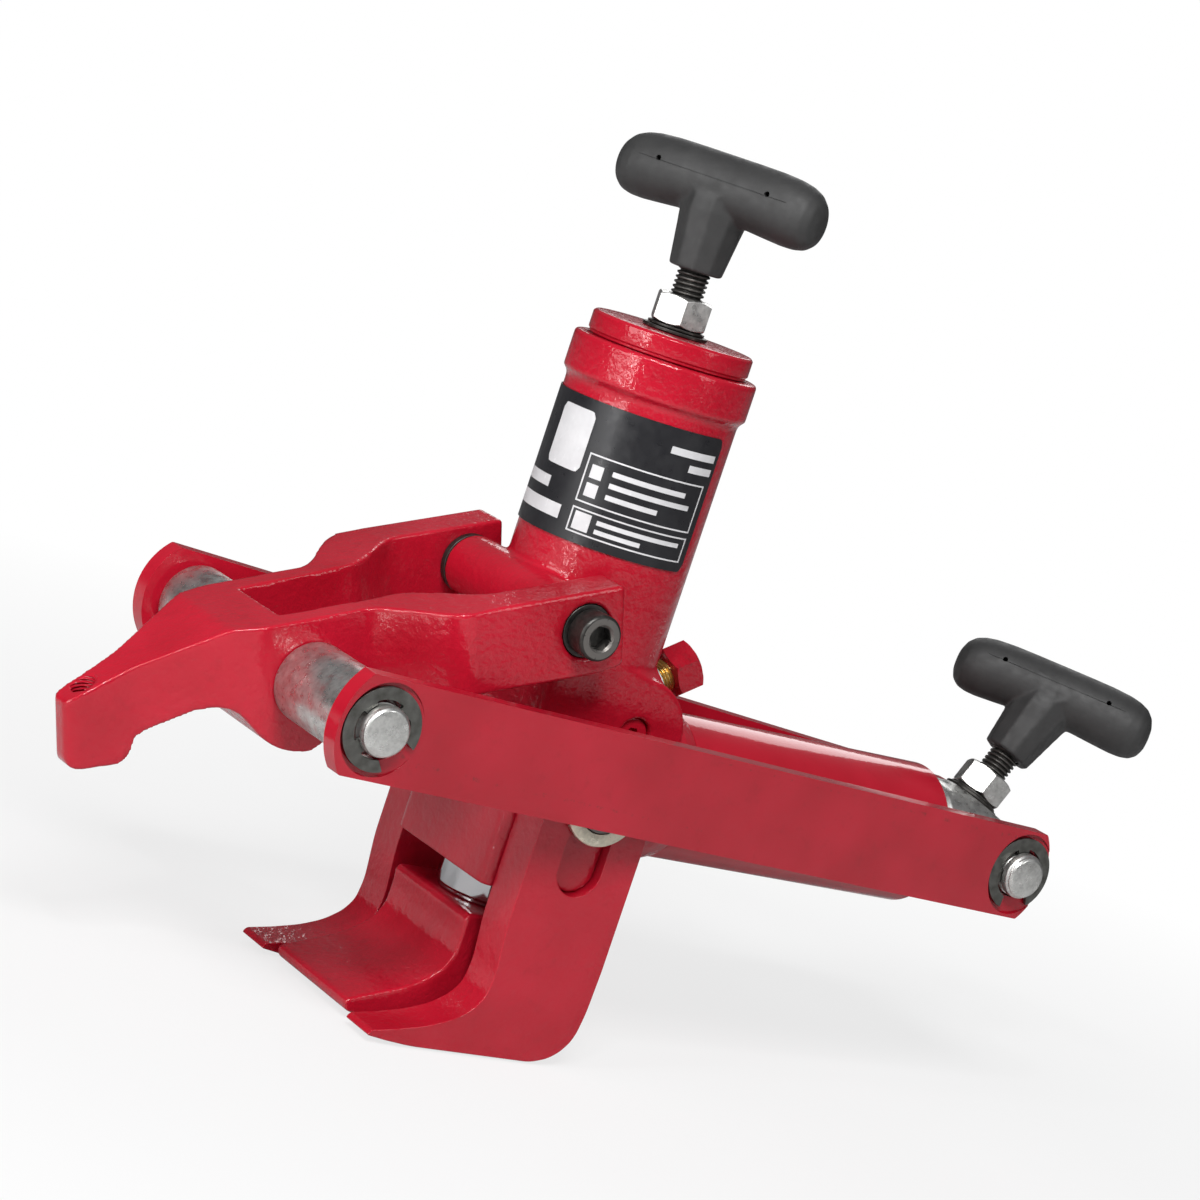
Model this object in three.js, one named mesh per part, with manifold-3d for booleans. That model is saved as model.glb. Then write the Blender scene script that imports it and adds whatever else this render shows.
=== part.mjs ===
import * as THREE from 'three';
import { mergeVertices } from 'three/addons/utils/BufferGeometryUtils.js';
import Module from 'manifold-3d';

const wasm = await Module();
wasm.setup();

// Hydraulic bead breaker: a vertical push ram and a horizontal clamp ram share one cast body.
// Millimetres, +Z up along the push ram, +X rearwards along the clamp ram, near side is -Y.
// Everything is laid out from the point where the two cylinder axes cross; the finished tool is then
// shifted so that the origin lies on the sole plane, below the middle of the overall length.

const GAP = 0.3;
const CIRCLE = 20;
const LARGE_CIRCLE = 32;
const SMALL_CIRCLE = 12;
const SIDES = [['near', -1], ['far', 1]];
const SOLE_Z = -97.5;
const MIDDLE_X = 36.4;

// Cast body
const BARREL_R = 32;
const COLLAR_R = 34;
const COLLAR_Z0 = 139.2;
const COLLAR_Z1 = 153.3;
const BLOCK_FRONT_X = -26.3;
const BLOCK_REAR_X = 26;
const BLOCK_HALF_Y = 32;
const BLOCK_BOTTOM_Z = -41;
const SHOULDER_Z0 = 24;
const SHOULDER_Z1 = 46;
const SHOULDER_WIDE_R = 60;
const BOSS_X = 16.5;
const BOSS_Z = 22.3;
const BOSS_R = 21.2;
const SOCKET_R = 30;
const SOCKET_X1 = 48;
const SOCKET_END_X = 55;

// Push cylinder bore, gland and cap
const PUSH_BORE_R = 25;
const GLAND_SEAT_R = 23.3;
const GLAND_TOP_Z = -9.7;
const CAP_SEAT_Z = 140;
const CAP_SEAT_R = 27.5;
const CAP_R = 29.8;
const CAP_TOP_Z = 161.8;

// Clamp cylinder
const CLAMP_BORE_R = 20;
const CLAMP_TUBE_R = 27.3;
const CLAMP_CHAMBER_X = 34;
const SPIGOT_X = 42;
const SPIGOT_R = 23.7;
const CLAMP_TUBE_END_X = 180;
const CLAMP_ROD_R = 14;

// Inlet adapter, screwed into the top rear of the casting
const INLET_ANGLE = THREE.MathUtils.degToRad(32.6);
const INLET_THREAD_R = 6.6;
const INLET_HOLE_START = 18;
const INLET_BOSS_END = 26;
const INLET_SPOT_FACE_R = 10.4;
const INLET_HEX_START = 34;
const INLET_HEX_END = 44.5;
const INLET_HEX_AF = 18;

// Push ram
const PUSH_ROD_R = 20;
const PUSH_PISTON_R = 24.6;
const PUSH_PISTON_Z0 = 124;
const PUSH_PISTON_Z1 = 136;
const SPRING_WIRE_R = 1.8;
const SPRING_MEAN_R = 22.55;
const SPRING_TURNS = 7;
const SHOE_HALF_Y = 26.5;
const SHOE_TOP_Z = -53.5;

// Claw: u runs rearwards along the arms, w is normal to them, measured from the pivot
const CLAW_PIVOT_X = -30.5;
const CLAW_PIVOT_Z = 58.9;
const CLAW_REST_ANGLE = THREE.MathUtils.degToRad(20);
const CLAW_BOSS_R = 11.5;
const CLAW_BOSS_HALF_Y = 31;
const FRONT_PIN_U = -93.5;
const FRONT_PIN_W = -10.5;
const ARM_INNER_Y = 34.5;
const ARM_OUTER_Y = 50;
const BUSH_R = 9.5;
const PIVOT_SCREW_R = 6.3;

// Pins and links
const PIN_R = 9;
const PIN_HOLE_R = 9.3;
const FRONT_PIN_HALF = 80;
const REAR_PIN_HALF = 41;
const REAR_PIN_X = 212;
const FRONT_PIN_X = -114.8;
const FRONT_PIN_Z = 17;
const LINK_SPLAY = 0.1224;
const LINK_THICK_Y = 7.556;
const LINK_HALF_HEIGHT = 17.7;
const LINK_END_R = 25;
const LINK_REAR_OUTER_Y = 36;
const LINK_FRONT_OVERHANG = 18.2;
const LINK_REAR_OVERHANG = 14.7;
const SPOT_FACE_R = 16.5;
const FRONT_CLIP_Y = 74.5;
const REAR_CLIP_Y = 34.5;
const CLIP_THICK = 1.5;
const CLIP_R = 14.7;
const SLEEVE_R = 14.4;
const GROOVE_R = 7.2;
const CLIP_MOUTH = 12;
const CLIP_PRONG = 6;

// Foot plates
const FOOT_INNER_Y = 32.5;
const FOOT_OUTER_Y = 49;
const FOOT_TOP_Z = 16;
const KEY_OUTER_Y = 45.3;
const KEY_HALF_WIDTH = 9;
const KEY_BOTTOM_Z = -34.7;
const WASHER_Y0 = 49.3;
const WASHER_Y1 = 51.9;

// T-handles: z along the stud from the middle of the locknut
const STUD_R = 6;
const NUT_ACROSS_FLATS = 19;
const NUT_HALF = 5.4;
const GRIP_BASE = 15;
const GRIP_BAR_Z = 46.4;
const GRIP_HALF_LENGTH = 41;
const GRIP_PIN_X = 22;
const TOP_SWIVEL_DEG = -60;
const REAR_SWIVEL_DEG = -50;
const REAR_GRIP_LEAN_DEG = 14;
const TOP_HANDLE_Z = 170;
const REAR_HANDLE_X = 211;
const REAR_HANDLE_Z = 24.7;
const REAR_HANDLE_TILT = THREE.MathUtils.degToRad(26);
const FACET_DROP = 8.2;

const FINISH = {
  red: { color: 0xa81228, roughness: 0.32, metalness: 0.1 },
  zinc: { color: 0xc9c8c2, roughness: 0.35, metalness: 0.9 },
  yellowZinc: { color: 0xb9903f, roughness: 0.35, metalness: 0.9 },
  chrome: { color: 0xd6d8da, roughness: 0.12, metalness: 1 },
  blackOxide: { color: 0x2a2927, roughness: 0.5, metalness: 0.7 },
  springSteel: { color: 0x5c5c58, roughness: 0.4, metalness: 0.9 },
  bronze: { color: 0x9c7438, roughness: 0.4, metalness: 0.9 },
  rubber: { color: 0x1b1b1c, roughness: 0.8, metalness: 0 },
  grip: { color: 0x46464a, roughness: 0.65, metalness: 0 },
  label: { color: 0x2d2d31, roughness: 0.4, metalness: 0 },
};

function toManifold(geometry) {
  geometry.deleteAttribute('normal');
  geometry.deleteAttribute('uv');
  const merged = mergeVertices(geometry, 1e-4);
  const positions = merged.attributes.position;
  const corners = Array.from(merged.index.array);
  const triangles = [];
  const a = new THREE.Vector3();
  const b = new THREE.Vector3();
  const c = new THREE.Vector3();
  let volume = 0;
  for (let i = 0; i < corners.length; i += 3) {
    const [p, q, r] = corners.slice(i, i + 3);
    if (p === q || q === r || r === p) continue;
    a.fromBufferAttribute(positions, p);
    b.fromBufferAttribute(positions, q);
    c.fromBufferAttribute(positions, r);
    volume += a.dot(b.cross(c));
    triangles.push([p, q, r]);
  }
  const outward = volume > 0 ? triangles : triangles.map(([p, q, r]) => [p, r, q]);
  return new wasm.Manifold(new wasm.Mesh({
    numProp: 3,
    vertProperties: new Float32Array(positions.array),
    triVerts: new Uint32Array(outward.flat()),
  }));
}

function toMesh(name, finish, solid) {
  const result = solid.getMesh();
  const geometry = new THREE.BufferGeometry();
  geometry.setAttribute('position', new THREE.BufferAttribute(new Float32Array(result.vertProperties), 3));
  geometry.setIndex(new THREE.BufferAttribute(new Uint32Array(result.triVerts), 1));
  geometry.computeVertexNormals();
  const mesh = new THREE.Mesh(geometry, new THREE.MeshStandardMaterial(FINISH[finish]));
  mesh.name = name;
  return mesh;
}

function union(solids) {
  return solids.reduce((sum, next) => sum.add(next));
}

function cut(solid, tools) {
  return tools.reduce((rest, tool) => rest.subtract(tool), solid);
}

// Straight cylinders and prisms along each axis
function rodY(radius, y0, y1, x, z, segments = CIRCLE) {
  const geometry = new THREE.CylinderGeometry(radius, radius, Math.abs(y1 - y0), segments);
  return toManifold(geometry.translate(x, (y0 + y1) / 2, z));
}

function rodZ(radius, z0, z1, x = 0, y = 0, segments = CIRCLE) {
  const geometry = new THREE.CylinderGeometry(radius, radius, z1 - z0, segments).rotateX(Math.PI / 2);
  return toManifold(geometry.translate(x, y, (z0 + z1) / 2));
}

function rodX(radius, x0, x1, y = 0, z = 0, segments = CIRCLE) {
  const geometry = new THREE.CylinderGeometry(radius, radius, x1 - x0, segments).rotateZ(-Math.PI / 2);
  return toManifold(geometry.translate((x0 + x1) / 2, y, z));
}

function shapeOf(points) {
  return new THREE.Shape(points.map(([x, y]) => new THREE.Vector2(x, y)));
}

function prismY(points, y0, y1) {
  const geometry = new THREE.ExtrudeGeometry(shapeOf(points), { depth: y1 - y0, bevelEnabled: false });
  return toManifold(geometry.rotateX(Math.PI / 2).translate(0, y1, 0));
}

function prismZ(points, z0, z1) {
  const geometry = new THREE.ExtrudeGeometry(shapeOf(points), { depth: z1 - z0, bevelEnabled: false });
  return toManifold(geometry.translate(0, 0, z0));
}

// Turned pieces: each profile is a list of [radius, height] pairs
function lathe(profile, segments) {
  return new THREE.LatheGeometry(profile.map(([r, h]) => new THREE.Vector2(r, h)), segments);
}

function turnedZ(profile, segments = CIRCLE) {
  return toManifold(lathe(profile, segments).rotateX(Math.PI / 2));
}

function turnedX(profile, segments = CIRCLE) {
  return toManifold(lathe(profile, segments).rotateZ(-Math.PI / 2));
}

function turnedY(profile, x, z, side = 1, segments = CIRCLE) {
  return toManifold(lathe(profile, segments).scale(1, side, 1).translate(x, 0, z));
}

function ring(inner, outer, h0, h1) {
  return [[inner, h0], [outer, h0], [outer, h1], [inner, h1], [inner, h0]];
}

function arcPoints(cx, cy, radius, fromDeg, toDeg, steps) {
  return Array.from({ length: steps + 1 }, (_, i) => {
    const angle = THREE.MathUtils.degToRad(fromDeg + ((toDeg - fromDeg) * i) / steps);
    return [cx + radius * Math.cos(angle), cy + radius * Math.sin(angle)];
  });
}

// Points of an S-bend between two offsets, flat at both ends
function sBend(u0, v0, u1, v1, steps = 6) {
  return Array.from({ length: steps + 1 }, (_, i) => {
    const t = i / steps;
    const ease = t * t * (3 - 2 * t);
    return [u0 + (u1 - u0) * t, v0 + (v1 - v0) * ease];
  });
}

function roundedBlock(x0, x1, y0, y1, z0, z1, radius) {
  const outline = [
    ...arcPoints(x1 - radius, y1 - radius, radius, 0, 90, 5),
    ...arcPoints(x0 + radius, y1 - radius, radius, 90, 180, 5),
    ...arcPoints(x0 + radius, y0 + radius, radius, 180, 270, 5),
    ...arcPoints(x1 - radius, y0 + radius, radius, 270, 360, 5),
  ];
  return prismZ(outline, z0, z1);
}

function hexSocketY(acrossFlats, y0, y1, x, z) {
  return rodY(acrossFlats / Math.sqrt(3), y0, y1, x, z, 6);
}

// A cylinder along the inlet axis, distances measured from the axis of the side boss
function inletRod(radius, from, to, segments = CIRCLE) {
  const geometry = new THREE.CylinderGeometry(radius, radius, to - from, segments).rotateZ(-Math.PI / 2);
  geometry.translate((from + to) / 2, 0, 0).rotateY(-INLET_ANGLE);
  return toManifold(geometry.translate(BOSS_X, 0, BOSS_Z));
}

// ---- Body casting and what is fixed to it ----

// Outline shared by the key on the block and, with the gap added, by the slot in the foot plate
function keyOutline(gap, steps) {
  const radius = KEY_HALF_WIDTH + gap;
  return [
    ...arcPoints(0, 0, radius, 0, 180, steps),
    ...arcPoints(0, KEY_BOTTOM_Z + KEY_HALF_WIDTH, radius, 180, 360, steps),
  ];
}

function castOutside() {
  const barrel = turnedZ([
    [0, 20], [BARREL_R, 20], [BARREL_R, COLLAR_Z0 - 1.5], [COLLAR_R, COLLAR_Z0],
    [COLLAR_R, COLLAR_Z1 - 1], [COLLAR_R - 1, COLLAR_Z1], [0, COLLAR_Z1],
  ], LARGE_CIRCLE);
  const shoulder = turnedZ([
    [0, BLOCK_BOTTOM_Z - 1], [SHOULDER_WIDE_R, BLOCK_BOTTOM_Z - 1],
    [SHOULDER_WIDE_R, SHOULDER_Z0], [BARREL_R, SHOULDER_Z1], [0, SHOULDER_Z1],
  ], LARGE_CIRCLE);
  const lowerBlock = roundedBlock(
    BLOCK_FRONT_X, BLOCK_REAR_X, -BLOCK_HALF_Y, BLOCK_HALF_Y, BLOCK_BOTTOM_Z, SHOULDER_Z1, 4,
  ).intersect(shoulder);
  const sideBoss = rodY(BOSS_R, -BLOCK_HALF_Y, BLOCK_HALF_Y, BOSS_X, BOSS_Z);
  const clawBoss = rodY(CLAW_BOSS_R, -CLAW_BOSS_HALF_Y, CLAW_BOSS_HALF_Y, CLAW_PIVOT_X, CLAW_PIVOT_Z);
  const socket = turnedX([
    [0, 0], [SOCKET_R, 0], [SOCKET_R, SOCKET_X1], [CLAMP_TUBE_R + 0.5, SOCKET_END_X], [0, SOCKET_END_X],
  ]);
  const inletBoss = inletRod(12, 5, INLET_BOSS_END, 32);
  const footKeys = prismY(keyOutline(0, 10), -KEY_OUTER_Y, KEY_OUTER_Y);
  return union([barrel, lowerBlock, sideBoss, clawBoss, socket, inletBoss, footKeys]);
}

function oilPassages() {
  const galleryX = 28.5;
  const galleryR = 1.5;
  const galleryTop = 138.2;
  const clampPortX = 38;
  return [
    inletRod(INLET_THREAD_R + GAP, INLET_HOLE_START, INLET_HEX_START, SMALL_CIRCLE),
    inletRod(INLET_SPOT_FACE_R, INLET_BOSS_END, INLET_HEX_START),
    rodZ(galleryR, 35, galleryTop, galleryX, 0, SMALL_CIRCLE),
    rodX(1.3, PUSH_BORE_R - 2, galleryX, 0, galleryTop, SMALL_CIRCLE),
    rodZ(galleryR, CLAMP_BORE_R - 2, 34, clampPortX, 0, SMALL_CIRCLE),
  ];
}

function bodyCasting() {
  const pushBore = turnedZ([
    [0, BLOCK_BOTTOM_Z - 4], [GLAND_SEAT_R, BLOCK_BOTTOM_Z - 4], [GLAND_SEAT_R, GLAND_TOP_Z],
    [PUSH_BORE_R, GLAND_TOP_Z], [PUSH_BORE_R, CAP_SEAT_Z], [CAP_SEAT_R, CAP_SEAT_Z],
    [CAP_SEAT_R, COLLAR_Z1 + 2], [0, COLLAR_Z1 + 2],
  ], LARGE_CIRCLE);
  const clampBore = turnedX([
    [0, CLAMP_CHAMBER_X], [CLAMP_BORE_R, CLAMP_CHAMBER_X], [CLAMP_BORE_R, SPIGOT_X],
    [SPIGOT_R + GAP, SPIGOT_X], [SPIGOT_R + GAP, SOCKET_END_X + 2], [0, SOCKET_END_X + 2],
  ]);
  const holes = SIDES.flatMap(([, side]) => [
    rodY(6, side * 12, side * 40, CLAW_PIVOT_X, CLAW_PIVOT_Z, SMALL_CIRCLE),
    rodY(6.2, side * 26, side * (KEY_OUTER_Y + 1), 0, 0, SMALL_CIRCLE),
    rodY(6.6, side * 26, side * 40, BOSS_X, BOSS_Z, SMALL_CIRCLE),
  ]);
  return toMesh('body_casting', 'red', cut(castOutside(), [pushBore, clampBore, ...holes, ...oilPassages()]));
}

function pushCylinderCap() {
  const plugR = CAP_SEAT_R - GAP;
  const turned = turnedZ([
    [0, CAP_SEAT_Z + GAP], [plugR, CAP_SEAT_Z + GAP], [plugR, 144], [plugR - 2.4, 144],
    [plugR - 2.4, 148], [plugR, 148], [plugR, COLLAR_Z1 + GAP], [CAP_R, COLLAR_Z1 + GAP],
    [CAP_R, CAP_TOP_Z - 1], [CAP_R - 1, CAP_TOP_Z], [0, CAP_TOP_Z],
  ], LARGE_CIRCLE);
  const studHole = rodZ(STUD_R + GAP, 146, CAP_TOP_Z + 1, 0, 0, SMALL_CIRCLE);
  return toMesh('push_cylinder_cap', 'red', cut(turned, [studHole]));
}

function pushCapSeal() {
  const plugR = CAP_SEAT_R - GAP;
  return toMesh('push_cap_seal', 'rubber', turnedZ(ring(plugR - 2.1, plugR, 144.3, 147.7), LARGE_CIRCLE));
}

function pushGlandBush() {
  const profile = ring(PUSH_ROD_R + GAP, GLAND_SEAT_R - GAP, -36, GLAND_TOP_Z - GAP);
  return toMesh('push_gland_bush', 'bronze', turnedZ(profile));
}

function pushRodWiper() {
  const profile = [
    [PUSH_ROD_R + GAP, -40.7], [GLAND_SEAT_R - GAP, -40.7], [GLAND_SEAT_R - GAP, -36.3],
    [PUSH_ROD_R + 1.6, -36.3], [PUSH_ROD_R + 1.6, -39], [PUSH_ROD_R + GAP, -40.7],
  ];
  return toMesh('push_rod_wiper', 'rubber', turnedZ(profile));
}

function clampCylinderTube() {
  const glandSeatR = 22.3;
  const profile = [
    [CLAMP_BORE_R, SPIGOT_X + GAP], [SPIGOT_R, SPIGOT_X + GAP], [SPIGOT_R, SOCKET_END_X + GAP],
    [CLAMP_TUBE_R, SOCKET_END_X + GAP], [CLAMP_TUBE_R, CLAMP_TUBE_END_X - 1.2],
    [CLAMP_TUBE_R - 1.2, CLAMP_TUBE_END_X], [glandSeatR, CLAMP_TUBE_END_X], [glandSeatR, 164],
    [CLAMP_BORE_R, 164], [CLAMP_BORE_R, SPIGOT_X + GAP],
  ];
  return toMesh('clamp_cylinder_tube', 'red', turnedX(profile, LARGE_CIRCLE));
}

function clampGlandRing() {
  return toMesh('clamp_gland_ring', 'bronze', turnedX(ring(CLAMP_ROD_R + GAP, 22, 164.3, 176)));
}

function clampRodWiper() {
  return toMesh('clamp_rod_wiper', 'rubber', turnedX(ring(CLAMP_ROD_R + GAP, 22, 176.3, 179.6)));
}

function inletAdapter() {
  const hex = inletRod(INLET_HEX_AF / Math.sqrt(3), INLET_HEX_START, INLET_HEX_END, 6);
  const thread = inletRod(INLET_THREAD_R, INLET_HOLE_START + GAP, INLET_HEX_START + 1, SMALL_CIRCLE);
  const bore = inletRod(3.6, INLET_HOLE_START - 1, INLET_HEX_START + 1, SMALL_CIRCLE);
  const port = inletRod(6.3, INLET_HEX_START, INLET_HEX_END + 1, SMALL_CIRCLE);
  return toMesh('inlet_adapter', 'yellowZinc', cut(union([hex, thread]), [bore, port]));
}

function inletSealWasher() {
  const outer = inletRod(9.6, INLET_BOSS_END + GAP, INLET_BOSS_END + 1.8, 32);
  const inner = inletRod(INLET_THREAD_R + GAP, INLET_BOSS_END, INLET_BOSS_END + 3, SMALL_CIRCLE);
  return toMesh('inlet_seal_washer', 'zinc', cut(outer, [inner]));
}

function bossPlug(label, side) {
  const plug = rodY(6.3, side * 26.3, side * 30, BOSS_X, BOSS_Z, SMALL_CIRCLE);
  const socket = hexSocketY(5, side * 27.6, side * 31, BOSS_X, BOSS_Z);
  return toMesh(`boss_plug_${label}`, 'red', cut(plug, [socket]));
}

function footWasher(label, side) {
  const profile = [
    [8.3, WASHER_Y0], [15.3, WASHER_Y0], [15.3, WASHER_Y1 - 0.5], [14.8, WASHER_Y1],
    [10.4, WASHER_Y1], [10.4, 51.4], [8.3, WASHER_Y0],
  ];
  return toMesh(`foot_washer_${label}`, 'zinc', turnedY(profile, 0, 0, side));
}

function footScrew(label, side) {
  const profile = [[0, 26.4], [5.9, 26.4], [5.9, 47.4], [10, 51.5], [10, WASHER_Y1], [0, WASHER_Y1]];
  const screw = turnedY(profile, 0, 0, side, SMALL_CIRCLE);
  const socket = hexSocketY(8, side * 47.5, side * 53, 0, 0);
  return toMesh(`foot_screw_${label}`, 'blackOxide', cut(screw, [socket]));
}

function clawPivotScrew(label, side) {
  const profile = [
    [0, 13], [5.7, 13], [5.7, CLAW_BOSS_HALF_Y + GAP], [PIVOT_SCREW_R, CLAW_BOSS_HALF_Y + GAP],
    [PIVOT_SCREW_R, 50.5], [8.3, 50.5], [8.3, 58.3], [7.6, 59], [0, 59],
  ];
  const screw = turnedY(profile, CLAW_PIVOT_X, CLAW_PIVOT_Z, side, SMALL_CIRCLE);
  const socket = hexSocketY(8, side * 54, side * 60, CLAW_PIVOT_X, CLAW_PIVOT_Z);
  return toMesh(`claw_pivot_screw_${label}`, 'blackOxide', cut(screw, [socket]));
}

function labelPlate() {
  const inner = BARREL_R + GAP;
  const outline = [...arcPoints(0, 0, inner + 0.4, -264, -64, 24), ...arcPoints(0, 0, inner, -64, -264, 24)];
  return toMesh('label_plate', 'label', prismZ(outline, 83.1, 132.7));
}

// ---- Push ram ----

function pushRamRod() {
  const turned = turnedZ([
    [0, -53.2], [PUSH_ROD_R - 1, -53.2], [PUSH_ROD_R - 1, -51.8], [PUSH_ROD_R, -51.3],
    [PUSH_ROD_R, PUSH_PISTON_Z0], [PUSH_PISTON_R, PUSH_PISTON_Z0], [PUSH_PISTON_R, 128], [22, 128],
    [22, 132], [PUSH_PISTON_R, 132], [PUSH_PISTON_R, PUSH_PISTON_Z1 - 1],
    [PUSH_PISTON_R - 1, PUSH_PISTON_Z1], [0, PUSH_PISTON_Z1],
  ]);
  return toMesh('push_ram_rod', 'chrome', cut(turned, [rodZ(6.3, -54, -34, 0, 0, SMALL_CIRCLE)]));
}

function pushPistonSeal() {
  return toMesh('push_piston_seal', 'rubber', turnedZ(ring(22.3, PUSH_PISTON_R + 0.1, 128.3, 131.7)));
}

class Helix extends THREE.Curve {
  constructor(radius, z0, z1, turns) {
    super();
    Object.assign(this, { radius, z0, z1, turns });
  }

  getPoint(t, target = new THREE.Vector3()) {
    const angle = t * this.turns * Math.PI * 2;
    const height = this.z0 + (this.z1 - this.z0) * t;
    return target.set(this.radius * Math.cos(angle), this.radius * Math.sin(angle), height);
  }
}

function pushReturnSpring() {
  const path = new Helix(
    SPRING_MEAN_R, GLAND_TOP_Z + GAP + SPRING_WIRE_R, PUSH_PISTON_Z0 - GAP - SPRING_WIRE_R, SPRING_TURNS,
  );
  const wire = shapeOf(arcPoints(0, 0, SPRING_WIRE_R, 0, 300, 5));
  const options = { steps: SPRING_TURNS * 15, extrudePath: path, bevelEnabled: false };
  return toMesh('push_return_spring', 'springSteel', toManifold(new THREE.ExtrudeGeometry(wire, options)));
}

function pushShoe() {
  const outline = [
    [-24.5, SHOE_TOP_Z], [-23.3, -62], [-24, -70], [-27, -75.5], [-33, -80], [-40, -83.8], [-50, -87],
    [-62, -91.2], [-61, -95.2], [-53, SOLE_Z + 0.5], [-16, SOLE_Z + 0.5], [-10.5, -94], [-10, -84],
    [-12.5, -72], [-11.5, -62], [19, -62], [19, SHOE_TOP_Z],
  ];
  const blade = prismY(outline, -SHOE_HALF_Y, SHOE_HALF_Y);
  return toMesh('push_shoe', 'red', cut(blade, [rodZ(6.4, -70, -50, 0, 0, SMALL_CIRCLE)]));
}

function pushShoeScrew() {
  const profile = [[0, -72], [8.5, -72], [9, -71.4], [9, -62.3], [5.9, -62.3], [5.9, -36], [0, -36]];
  const socket = rodZ(8 / Math.sqrt(3), -73, -67, 0, 0, 6);
  return toMesh('push_shoe_screw', 'blackOxide', cut(turnedZ(profile, SMALL_CIRCLE), [socket]));
}

// ---- Clamp ram ----

function clampRamRod() {
  return toMesh('clamp_ram_rod', 'chrome', turnedX([
    [0, 34.8], [18.6, 34.8], [19.6, 35.8], [19.6, 38], [17.2, 38], [17.2, 42], [19.6, 42], [19.6, 48],
    [CLAMP_ROD_R, 48], [CLAMP_ROD_R, 184], [10, 184], [10, 198], [0, 198],
  ]));
}

function clampPistonSeal() {
  return toMesh('clamp_piston_seal', 'rubber', turnedX(ring(17.5, 19.7, 38.3, 41.7)));
}

function facetCutter() {
  const geometry = new THREE.BoxGeometry(90, 80, 30).translate(0, 0, 15 - FACET_DROP);
  return toManifold(geometry.rotateY(REAR_HANDLE_TILT).translate(REAR_HANDLE_X, 0, REAR_HANDLE_Z));
}

function rearStudHole() {
  const radius = STUD_R + GAP;
  const depth = 13;
  const geometry = new THREE.CylinderGeometry(radius, radius, depth, SMALL_CIRCLE).rotateX(Math.PI / 2);
  geometry.translate(0, 0, -depth / 2).rotateY(REAR_HANDLE_TILT);
  return toManifold(geometry.translate(REAR_HANDLE_X, 0, REAR_HANDLE_Z));
}

function clampCrosshead() {
  const head = turnedX([
    [0, 184.3], [21.5, 184.3], [23, 185.8], [23, 221], [21.5, 224.5], [19, 226], [0, 226],
  ], LARGE_CIRCLE);
  const pinBoss = rodY(13.5, -26, 26, REAR_PIN_X, 0);
  return toMesh('clamp_crosshead', 'zinc', cut(union([head, pinBoss]), [
    facetCutter(), rearStudHole(), rodX(10.3, 184, 198.4, 0, 0, 32),
    rodY(PIN_HOLE_R, -30, 30, REAR_PIN_X, 0), rodX(3.3, 214, 227, 0, 0, 16),
  ]));
}

function crossheadGrubScrew() {
  return toMesh('crosshead_grub_screw', 'blackOxide', cut(rodX(3, 221.4, 225.6, 0, 0, 16), [
    rodX(1.6, 223.5, 226, 0, 0, 6),
  ]));
}

function grooveProfile(half, clipY, endR) {
  const g0 = clipY - GAP;
  const g1 = clipY + CLIP_THICK + GAP;
  const oneEnd = [
    [PIN_R, g0], [GROOVE_R, g0], [GROOVE_R, g1], [PIN_R, g1], [PIN_R, half - 2],
    [endR, half - 1.2], [endR, half - 0.6], [endR - 0.6, half], [0, half],
  ];
  return [...oneEnd.map(([r, y]) => [r, -y]).reverse(), ...oneEnd];
}

function eClip(y0, side, x, z, openDeg) {
  const a = side * y0;
  const b = side * (y0 + CLIP_THICK);
  const band = cut(rodY(CLIP_R, a, b, x, z), [rodY(10.4, side * (y0 - 1), side * (y0 + 3), x, z)]);
  const spoke = (deg, r0, r1, width) => {
    const low = Math.min(a, b);
    const geometry = new THREE.BoxGeometry(r1 - r0, CLIP_THICK, width).translate((r0 + r1) / 2, 0, 0);
    return toManifold(geometry.rotateY(-THREE.MathUtils.degToRad(deg)).translate(x, low + CLIP_THICK / 2, z));
  };
  const prongs = [90, 180, 270].map((turn) => spoke(openDeg + turn, GROOVE_R + 0.4, 12, CLIP_PRONG));
  const mouth = new THREE.BoxGeometry(20, 8, CLIP_MOUTH).translate(10, 0, 0);
  mouth.rotateY(-THREE.MathUtils.degToRad(openDeg)).translate(x, (a + b) / 2, z);
  return cut(union([band, ...prongs]), [toManifold(mouth)]);
}

function rearPin() {
  return toMesh('rear_pin', 'zinc', turnedY(grooveProfile(REAR_PIN_HALF, REAR_CLIP_Y, 8.2), REAR_PIN_X, 0));
}

function rearClip(label, side) {
  return toMesh(`rear_clip_${label}`, 'springSteel', eClip(REAR_CLIP_Y, side, REAR_PIN_X, 0, -80));
}

// ---- Claw, built in its own u, y, w frame about the pivot ----

function clawOutline() {
  return [
    [15, 14.2], [-35, 14], [-72, 12.3], [-121, 11.3], [-174.3, -10.5], [-174.3, -31.2], [-173, -34],
    [-170, -35], [-157, -35], [-153, -32.5], [-151.3, -27.5], [-150.5, -25.5], [-146.2, -23],
    [-132.1, -16.9], [-126, -16.2], [-121.9, -16.7], [-118.2, -19.1], [-113.4, -25.4],
    ...arcPoints(FRONT_PIN_U, FRONT_PIN_W, 25, 225, 270, 4), [-75, -27], [-68, -19], [-60, -16],
    [4.7, -16.3], [14.5, -14.7],
  ];
}

function clawPlanOutline() {
  const farSide = [
    [-174.3, 0], [-174.3, 3.5], [-172.8, 5], [-165, 6.2], [-150, 8.5], [-121, 21.5], [-110, 25],
    ...sBend(-72, 25, -46, ARM_OUTER_Y), [20, ARM_OUTER_Y],
  ];
  return [...farSide, ...farSide.slice(1).map(([u, y]) => [u, -y]).reverse()];
}

function clawSlotOutline() {
  const farSide = [
    [-100.5, 15.5], ...sBend(-56, 17, -30, ARM_INNER_Y), [30, ARM_INNER_Y],
  ];
  return [...farSide, ...farSide.map(([u, y]) => [u, -y]).reverse()];
}

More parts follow.
